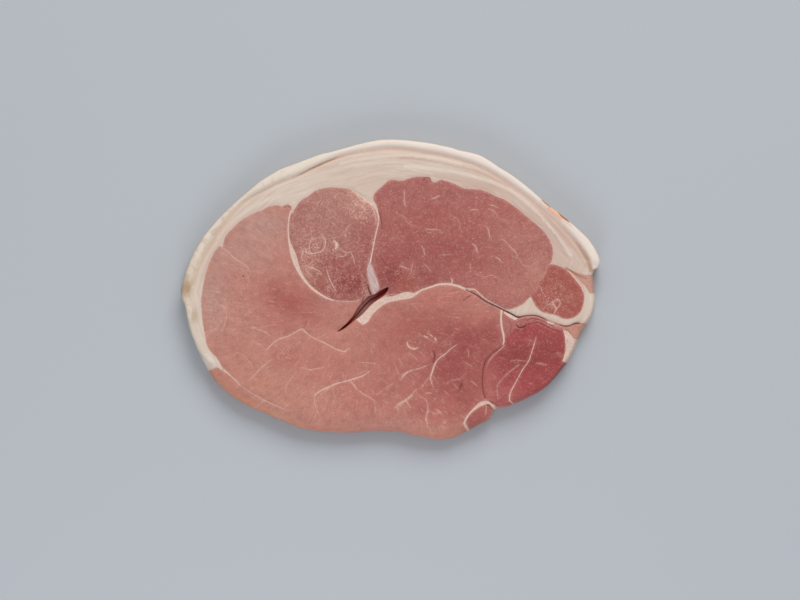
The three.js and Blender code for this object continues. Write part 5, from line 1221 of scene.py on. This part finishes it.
def meat_material():
    m = Net("cured_meat")
    coords = m.node("ShaderNodeTexCoord").outputs["Object"]
    P = m.vec("SCALE", coords, scale=1000.0)                      # millimetres
    sway = m.vec("SUBTRACT", m.noise(P, 0.42, 3, 0.55, kind="Color"), (0.5, 0.5, 0.5))
    W = m.vec("ADD", P, m.vec("SCALE", sway, scale=2.2))          # wandering coordinates
    ragged = m.math("SUBTRACT", m.noise(P, 1.15, 4, 0.62), 0.5)   # makes every edge a little ragged

    # ---- lean
    marble = m.value("marble")
    broad = m.noise(P, 0.11, 3, 0.5)
    cloud = m.noise(P, 0.28, 4, 0.6)
    fleck = m.noise(W, 0.75, 3, 0.6)
    grain = m.noise(P, 2.1, 3, 0.65)
    L = m.colour("lean_rgb")
    fibres = m.noise(m.combine(m.mul(m.value("fibre_u"), 0.16), m.mul(m.value("fibre_v"), 0.85), m.mul(m.value("drop"), 0.2)), 1.0, 3, 0.6)
    tone = m.add(m.mul(m.math("SUBTRACT", cloud, 0.5), 0.30), m.mul(m.math("SUBTRACT", fleck, 0.5), m.add(0.12, m.mul(m.value("busy"), 0.16))))
    tone = m.add(tone, m.mul(m.math("SUBTRACT", grain, 0.5), m.add(0.36, m.mul(m.value("busy"), 0.22))))
    tone = m.add(tone, m.mul(m.math("SUBTRACT", fibres, 0.5), m.value("fibre_s")))
    tone = m.add(tone, m.mul(m.math("SUBTRACT", broad, 0.5), 0.22))
    L = m.vec("SCALE", L, scale=m.add(1.0, tone))
    # redder where it is darker
    L = m.mix(m.mul(m.step(cloud, 0.50, 0.30), m.add(0.08, m.mul(m.value("busy"), 0.16))), L, rgb(150, 74, 70))
    # cut ends of the fibre bundles: short soft pale and dark dabs
    dab = m.noise(m.vec("MULTIPLY", W, (1.0, 1.25, 1.0)), 1.15, 2, 0.55)
    L = m.mix(m.mul(m.step(dab, 0.55, 0.70), m.mul(m.value("busy"), 0.42)), L, rgb(212, 162, 150))
    L = m.mix(m.mul(m.step(dab, 0.44, 0.30), m.mul(m.value("busy"), 0.30)), L, rgb(132, 68, 66))
    L = m.mix(m.mul(m.step(m.noise(P, 0.17, 3, 0.55), 0.55, 0.75), 0.17), L, rgb(199, 152, 140))
    # fine pale lines of fat between the bundles of fibre, most in the round muscle: thin, wandering and broken
    def veins(shift, scale, thin, thick):
        n = m.noise(m.vec("ADD", W, shift), scale, 2, 0.55)
        return m.step(m.math("ABSOLUTE", m.math("SUBTRACT", n, 0.5)), thick, thin)

    def gate(shift, scale, lo, hi, more):
        return m.step(m.add(m.noise(m.vec("ADD", P, shift), scale, 2, 0.5), m.mul(marble, more)), lo, hi)

    web1 = m.mul(veins((0.0, 0.0, 0.0), 0.30, 0.003, 0.020), gate((9.0, 0.0, 0.0), 0.27, 0.60, 0.70, 0.11))
    web2 = m.mul(veins((37.0, 5.0, 2.0), 0.62, 0.004, 0.030), gate((50.0, 0.0, 0.0), 0.45, 0.58, 0.68, 0.11))
    web3 = m.mul(m.step(m.cells(m.vec("ADD", W, (7.0, 31.0, 9.0)), 0.62), 0.060, 0.012), gate((0.0, 50.0, 0.0), 0.40, 0.60, 0.72, 0.13))
    web = m.math("MAXIMUM", web1, m.math("MAXIMUM", m.mul(web2, 0.75), m.mul(web3, 0.6)))
    L = m.mix(m.mul(web, m.add(0.24, m.mul(marble, 0.30))), L, rgb(226, 184, 166))
    # small pale and dark specks
    specks = m.step(m.add(m.cells(W, 0.80, "F1"), m.mul(ragged, 0.25)), 0.20, 0.06)
    speck_gate = m.step(m.noise(P, 0.5, 1, 0.5), 0.54, 0.64)
    L = m.mix(m.mul(m.mul(specks, speck_gate), m.add(0.02, m.mul(marble, 0.26))), L, rgb(226, 188, 172))
    dark = m.step(m.cells(m.vec("ADD", W, (91.0, 11.0, 1.0)), 0.32), 0.06, 0.01)
    dark_gate = m.step(m.noise(m.vec("ADD", P, (9.0, 77.0, 0.0)), 0.16, 2, 0.5), 0.56, 0.70)
    L = m.mix(m.mul(m.mul(dark, dark_gate), 0.12), L, rgb(128, 66, 64))
    pale_fibre = m.step(m.noise(m.combine(m.mul(m.value("fibre_u"), 0.10), m.mul(m.value("fibre_v"), 0.60), 7.0), 1.0, 2, 0.6), 0.60, 0.74)
    L = m.mix(m.mul(m.mul(pale_fibre, m.value("fibre_s")), 1.6), L, rgb(208, 158, 144))

    # ---- fat cap, streaked along the rim
    A = m.value("arc")
    E = m.add(m.value("edge"), m.mul(m.math("SUBTRACT", m.noise(P, 0.09, 2, 0.5), 0.5), 2.2))
    along = m.combine(m.mul(A, 0.035), m.mul(E, 0.62), m.mul(m.value("drop"), 0.3))
    fine_along = m.combine(m.mul(A, 0.09), m.mul(E, 1.7), m.mul(m.value("drop"), 0.8))
    streak = m.noise(along, 1.0, 3, 0.55)
    thread = m.noise(fine_along, 1.0, 3, 0.6)
    F = m.colour("fat_rgb")
    F = m.vec("SCALE", F, scale=m.add(1.0, m.add(m.mul(m.math("SUBTRACT", streak, 0.5), 0.20), m.mul(m.math("SUBTRACT", thread, 0.5), 0.30))))
    F = m.mix(m.mul(m.step(streak, 0.50, 0.34), 0.30), F, rgb(205, 174, 158))
    F = m.mix(m.mul(m.step(thread, 0.56, 0.72), 0.40), F, rgb(230, 217, 204))
    tone_line = m.value("fat_tone")
    F = m.mix(m.mul(m.step(tone_line, -0.05, -0.95), 0.75), F, rgb(198, 168, 152))
    F = m.mix(m.mul(m.step(tone_line, 0.05, 0.95), 0.65), F, rgb(229, 216, 203))
    F = m.mix(m.mul(m.step(m.value("lean"), -2.4, 0.0), 0.30), F, rgb(205, 176, 165))
    F = m.vec("SCALE", F, scale=m.add(0.93, m.mul(grain, 0.14)))

    # ---- rind
    K = m.colour("rind_rgb")
    K = m.vec("SCALE", K, scale=m.add(0.90, m.mul(m.noise(fine_along, 0.8, 3, 0.6), 0.20)))
    stain = m.step(m.noise(P, 0.30, 4, 0.62), 0.47, 0.66)
    K = m.mix(m.mul(m.mul(stain, m.value("mottle")), 0.30), K, rgb(172, 142, 112))
    olive = m.step(m.noise(m.vec("ADD", P, (3.0, 60.0, 2.0)), 0.22, 3, 0.6), 0.54, 0.72)
    K = m.mix(m.mul(m.mul(olive, m.value("mottle")), 0.22), K, rgb(180, 164, 136))
    K = m.mix(m.mul(m.mul(m.step(m.add(m.value("edge"), m.mul(ragged, 1.2)), 1.0, 0.1), m.value("mottle")), 0.45), K, rgb(186, 158, 128))
    # the outer skin, with its pores
    pores = m.step(m.cells(m.vec("MULTIPLY", P, (1.0, 1.0, 0.8)), 0.62, "F1"), 0.15, 0.05)
    skin = m.mix(m.mul(m.noise(P, 0.16, 4, 0.6), 0.9), rgb(222, 203, 182), rgb(198, 172, 146))
    skin = m.mix(m.mul(pores, 0.30), skin, rgb(160, 130, 104))
    K = m.mix(m.mul(m.step(m.value("hide"), 0.35, 0.95), 0.75), K, skin)

    # ---- put together
    groove_line = m.mul(m.step(m.add(m.value("groove"), m.mul(ragged, 0.5)), 1.45, 0.15), m.value("groove_s"))
    rind_mask = m.step(m.add(m.value("rind"), m.mul(ragged, 0.3)), -0.25, 0.30)
    rind_or_wall = m.math("MAXIMUM", rind_mask, m.value("wall"))
    rim = m.mix(rind_mask, F, K)
    strong = m.step(m.value("groove_s"), 0.60, 1.0)
    line_colour = m.mix(strong, rgb(205, 169, 152), rgb(172, 130, 106))
    line_colour = m.mix(m.mul(m.value("mottle"), 0.80), line_colour, m.mix(olive, rgb(194, 164, 132), rgb(182, 168, 136)))
    rim = m.mix(m.math("MINIMUM", m.mul(groove_line, m.add(0.85, m.mul(m.math("SUBTRACT", thread, 0.5), 1.2))), 1.0), rim, line_colour)

    fat_mask = m.step(m.add(m.value("lean"), m.mul(ragged, 0.9)), 0.26, -0.26)
    C = m.mix(fat_mask, L, rim)
    # fat that shows through as a soft film just inside the lean
    film = m.mul(m.step(m.add(m.value("lean"), m.mul(ragged, 2.0)), 1.3, 0.1), m.math("SUBTRACT", 1.0, fat_mask))
    C = m.mix(m.mul(film, 0.22), C, rgb(205, 160, 146))

    flesh_mask = m.step(m.add(m.value("flesh"), m.mul(ragged, 0.8)), 0.30, -0.25)
    flesh_rgb = m.vec("SCALE", m.mix(m.noise(P, 0.9, 3, 0.6), rgb(180, 116, 98), rgb(206, 160, 144)), scale=m.add(0.85, m.mul(grain, 0.3)))
    C = m.mix(m.mul(flesh_mask, 0.9), C, flesh_rgb)

    # pale seams: strong ones cream, weak ones only pink
    s = m.value("pale_s")
    edge = m.add(m.value("pale"), m.mul(ragged, 0.60))
    seam_mask = m.step(edge, 0.11, -0.17)
    halo = m.step(edge, 1.3, 0.0)
    seam_rgb = m.mix(m.step(s, 0.35, 0.95), rgb(214, 166, 152), rgb(224, 190, 175))
    seam_rgb = m.mix(m.mul(m.step(m.noise(P, 1.3, 3, 0.6), 0.50, 0.68), 0.45), seam_rgb, rgb(236, 216, 203))
    seam_rgb = m.mix(m.mul(m.step(m.noise(P, 0.9, 3, 0.6), 0.50, 0.34), 0.45), seam_rgb, rgb(196, 146, 134))
    broad_fat = m.step(m.value("pale"), -0.25, -0.65)
    seam_rgb = m.mix(m.mul(broad_fat, 0.60), seam_rgb, rgb(224, 204, 190))
    meal = m.step(m.noise(P, 1.9, 2, 0.6), 0.54, 0.42)
    seam_rgb = m.mix(m.mul(m.mul(meal, broad_fat), 0.45), seam_rgb, rgb(184, 146, 134))
    split = m.node("ShaderNodeSeparateXYZ")
    m.join(P, split.inputs[0])
    cord = m.noise(m.combine(m.add(m.mul(split.outputs[0], 1.1), m.mul(split.outputs[1], 0.42)), m.mul(split.outputs[1], 0.16), 0.0), 1.0, 3, 0.6)
    seam_rgb = m.mix(m.value("gristle"), seam_rgb, m.mix(m.step(cord, 0.30, 0.70), rgb(182, 146, 144), rgb(214, 190, 184)))
    lean_side = m.math("SUBTRACT", 1.0, m.mul(fat_mask, 0.5))
    C = m.mix(m.mul(m.mul(m.mul(halo, s), 0.16), lean_side), C, rgb(205, 158, 146))
    broken = m.add(0.38, m.mul(m.step(m.add(m.noise(P, 0.8, 2, 0.5), m.mul(s, 0.35)), 0.46, 0.80), 0.62))
    C = m.mix(m.mul(m.mul(m.mul(seam_mask, m.math("POWER", s, 0.75)), broken), lean_side), C, seam_rgb)

    # parted seams: a darker red-brown ring and a near-black core, painted shade in the gaps
    gap = m.add(m.value("crack"), m.mul(ragged, 0.40))
    wide_open = m.step(m.value("crack_s"), 0.75, 1.0)
    C = m.mix(m.mul(m.step(gap, 0.60, 0.0), m.mul(m.value("crack_s"), 0.30)), C, rgb(140, 74, 68))
    C = m.mix(m.mul(m.step(gap, 0.12, -0.16), m.mul(m.value("crack_s"), 0.95)), C, m.mix(wide_open, rgb(112, 48, 46), rgb(62, 30, 28)))

    # the lean side's wall is thin membrane over pink-orange flesh; its colours hold painted shade on the lower right
    # and a painted highlight at the right end
    membrane_and_painted_light_share = m.mul(m.value("wall"), m.math("SUBTRACT", 1.0, m.step(m.value("hide"), 0.1, 0.5)))
    membrane_and_painted_light_share = m.mul(membrane_and_painted_light_share, m.step(m.value("lean"), -0.3, 0.5))
    # streaks along the wall that brighten the film: painted highlights, with the film's own unevenness
    film_wave = m.noise(m.combine(m.mul(A, 0.12), m.mul(m.value("drop"), 0.35), 0.0), 1.0, 4, 0.6)
    wall_film_and_painted_light = m.vec("SCALE", m.colour("film_and_painted_light_rgb"), scale=m.add(0.78, m.add(m.mul(film_wave, 0.26), m.mul(grain, 0.18))))
    membrane_and_painted_light_share = m.mul(membrane_and_painted_light_share, m.add(0.70, m.mul(m.step(m.add(film_wave, m.mul(ragged, 0.6)), 0.40, 0.62), 0.45)))
    membrane_and_painted_light_share = m.mul(membrane_and_painted_light_share, m.math("SUBTRACT", 1.0, m.mul(seam_mask, m.mul(s, 0.75))))
    C = m.mix(m.mul(membrane_and_painted_light_share, m.value("film")), C, wall_film_and_painted_light)
    # orange blush and red-brown nicks on the rind's outer edge
    shallow = m.step(m.value("drop"), 6.0, 3.0)
    flat_P = m.vec("MULTIPLY", P, (1.0, 1.0, 0.0))

    def along_line(a, b):
        """Distance from the segment a to b seen from above, and where along it, 0 to 1."""
        (ax, ay), (bx, by) = place([a, b])
        ab = (bx - ax, by - ay, 0.0)
        rel = m.vec("SUBTRACT", flat_P, (ax, ay, 0.0))
        dot = m.node("ShaderNodeVectorMath", operation="DOT_PRODUCT")
        m.join(rel, dot.inputs[0])
        m.join(ab, dot.inputs[1])
        t = m.math("MULTIPLY", dot.outputs["Value"], 1.0 / (ab[0] ** 2 + ab[1] ** 2), clamp=True)
        foot = m.node("ShaderNodeVectorMath", operation="SCALE")
        foot.inputs[0].default_value = ab
        m.join(t, foot.inputs["Scale"])
        length = m.node("ShaderNodeVectorMath", operation="LENGTH")
        m.join(m.vec("SUBTRACT", rel, foot.outputs["Vector"]), length.inputs[0])
        return length.outputs["Value"], t

    for ax, ay, bx, by, reach, strength in BLUSHES:
        d, t = along_line((ax, ay), (bx, by))
        soft = m.step(m.add(d, m.mul(ragged, 0.9)), reach, reach * 0.15)
        C = m.mix(m.mul(m.mul(soft, shallow), m.mul(rind_or_wall, strength)), C, rgb(236, 172, 138))
    for ax, ay, bx, by, half, strength in STAINS:
        d, t = along_line((ax, ay), (bx, by))
        taper = m.mul(m.mul(t, m.math("SUBTRACT", 1.0, t)), 4.0 * half)
        gap_to = m.add(m.math("SUBTRACT", d, taper), m.mul(ragged, 0.5))
        C = m.mix(m.mul(m.mul(m.step(gap_to, 0.22, -0.10), shallow), strength), C, rgb(146, 78, 58))
    # inside the slit: painted shade, the darker red-brown colours where the point lies deep
    C = m.mix(m.step(m.add(m.value("deep"), m.mul(ragged, 0.25)), 0.30, 0.80), C, m.vec("SCALE", m.colour("lean_rgb"), scale=m.add(0.72, m.add(m.mul(fleck, 0.34), m.mul(grain, 0.22)))))

    # ---- surface
    bsdf = m.node("ShaderNodeBsdfPrincipled")
    m.join(C, bsdf.inputs["Base Color"])
    wet = m.step(m.noise(P, 0.13, 3, 0.5), 0.40, 0.65)
    rough = m.add(0.40, m.mul(wet, 0.14))
    rough = m.add(rough, m.mul(fat_mask, 0.06))
    rough = m.add(rough, m.mul(m.math("SUBTRACT", grain, 0.5), 0.12))
    m.join(rough, bsdf.inputs["Roughness"])
    bsdf.inputs["IOR"].default_value = 1.38
    bsdf.inputs["Specular IOR Level"].default_value = 0.42
    bsdf.inputs["Subsurface Weight"].default_value = 0.12
    bsdf.inputs["Subsurface Radius"].default_value = (1.0, 0.42, 0.30)
    bsdf.inputs["Subsurface Scale"].default_value = 0.0011
    height = m.add(m.mul(fleck, 0.55), m.mul(grain, 0.30))
    height = m.mix(fat_mask, m.combine(height, height, height), m.combine(m.mul(thread, 0.5), m.mul(thread, 0.5), m.mul(thread, 0.5)))
    height = m.math("SUBTRACT", height, m.mul(m.mul(pores, m.value("hide")), 0.35))
    height = m.math("SUBTRACT", height, m.mul(web, 0.20))
    bump = m.node("ShaderNodeBump")
    bump.inputs["Strength"].default_value = 0.55
    bump.inputs["Distance"].default_value = 0.00028
    m.join(height, bump.inputs["Height"])
    m.join(bump.outputs["Normal"], bsdf.inputs["Normal"])
    out = m.node("ShaderNodeOutputMaterial")
    m.join(bsdf.outputs[0], out.inputs["Surface"])
    return m.material


def floor_material():
    m = Net("plain_floor")
    bsdf = m.node("ShaderNodeBsdfPrincipled")
    bsdf.inputs["Base Color"].default_value = (*FLOOR_COLOUR, 1)
    bsdf.inputs["Roughness"].default_value = 0.85
    bsdf.inputs["Specular IOR Level"].default_value = 0.15
    out = m.node("ShaderNodeOutputMaterial")
    m.join(bsdf.outputs[0], out.inputs["Surface"])
    return m.material


steak.data.materials.append(meat_material())
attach(steak, "root")
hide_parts("gammon_steak")

# ---------------------------------------------------------------- floor, light, camera
floor_mesh = bpy.data.meshes.new("floor")
floor_mesh.from_pydata([(-4, -4, 0), (4, -4, 0), (4, 4, 0), (-4, 4, 0)], [], [(0, 1, 2, 3)])
floor = bpy.data.objects.new("floor", floor_mesh)
bpy.context.scene.collection.objects.link(floor)
floor.data.materials.append(floor_material())


def area_light(name, location, size, watts, colour=(1, 1, 1), target=(0, 0, 0)):
    data = bpy.data.lights.new(name, "AREA")
    data.shape, data.size, data.energy, data.color = "DISK", size, watts, colour
    lamp = bpy.data.objects.new(name, data)
    lamp.location = location
    lamp.rotation_mode = "QUATERNION"
    lamp.rotation_quaternion = (Vector(target) - Vector(location)).to_track_quat("-Z", "Y")
    bpy.context.scene.collection.objects.link(lamp)
    return lamp


for light in LIGHTS:
    area_light(*light)
world = bpy.data.worlds.new("studio")
world.use_nodes = True
world.node_tree.nodes["Background"].inputs["Color"].default_value = (*WORLD_COLOUR, 1)
world.node_tree.nodes["Background"].inputs["Strength"].default_value = WORLD_STRENGTH
bpy.context.scene.world = world
bpy.context.scene.view_settings.view_transform = "Standard"
bpy.context.scene.view_settings.look = "None"

camera_data = bpy.data.cameras.new("camera")
camera_data.sensor_width = 36
CAMERA_HEIGHT = 2.0
camera_data.lens = 36 * (CAMERA_HEIGHT - 0.0105) / 0.400
camera_data.clip_start, camera_data.clip_end = 0.05, 20
camera = bpy.data.objects.new("camera", camera_data)
camera.location = (0.00475, -0.00528, CAMERA_HEIGHT)
camera.rotation_euler = (0, 0, 0)
bpy.context.scene.collection.objects.link(camera)
bpy.context.scene.camera = camera
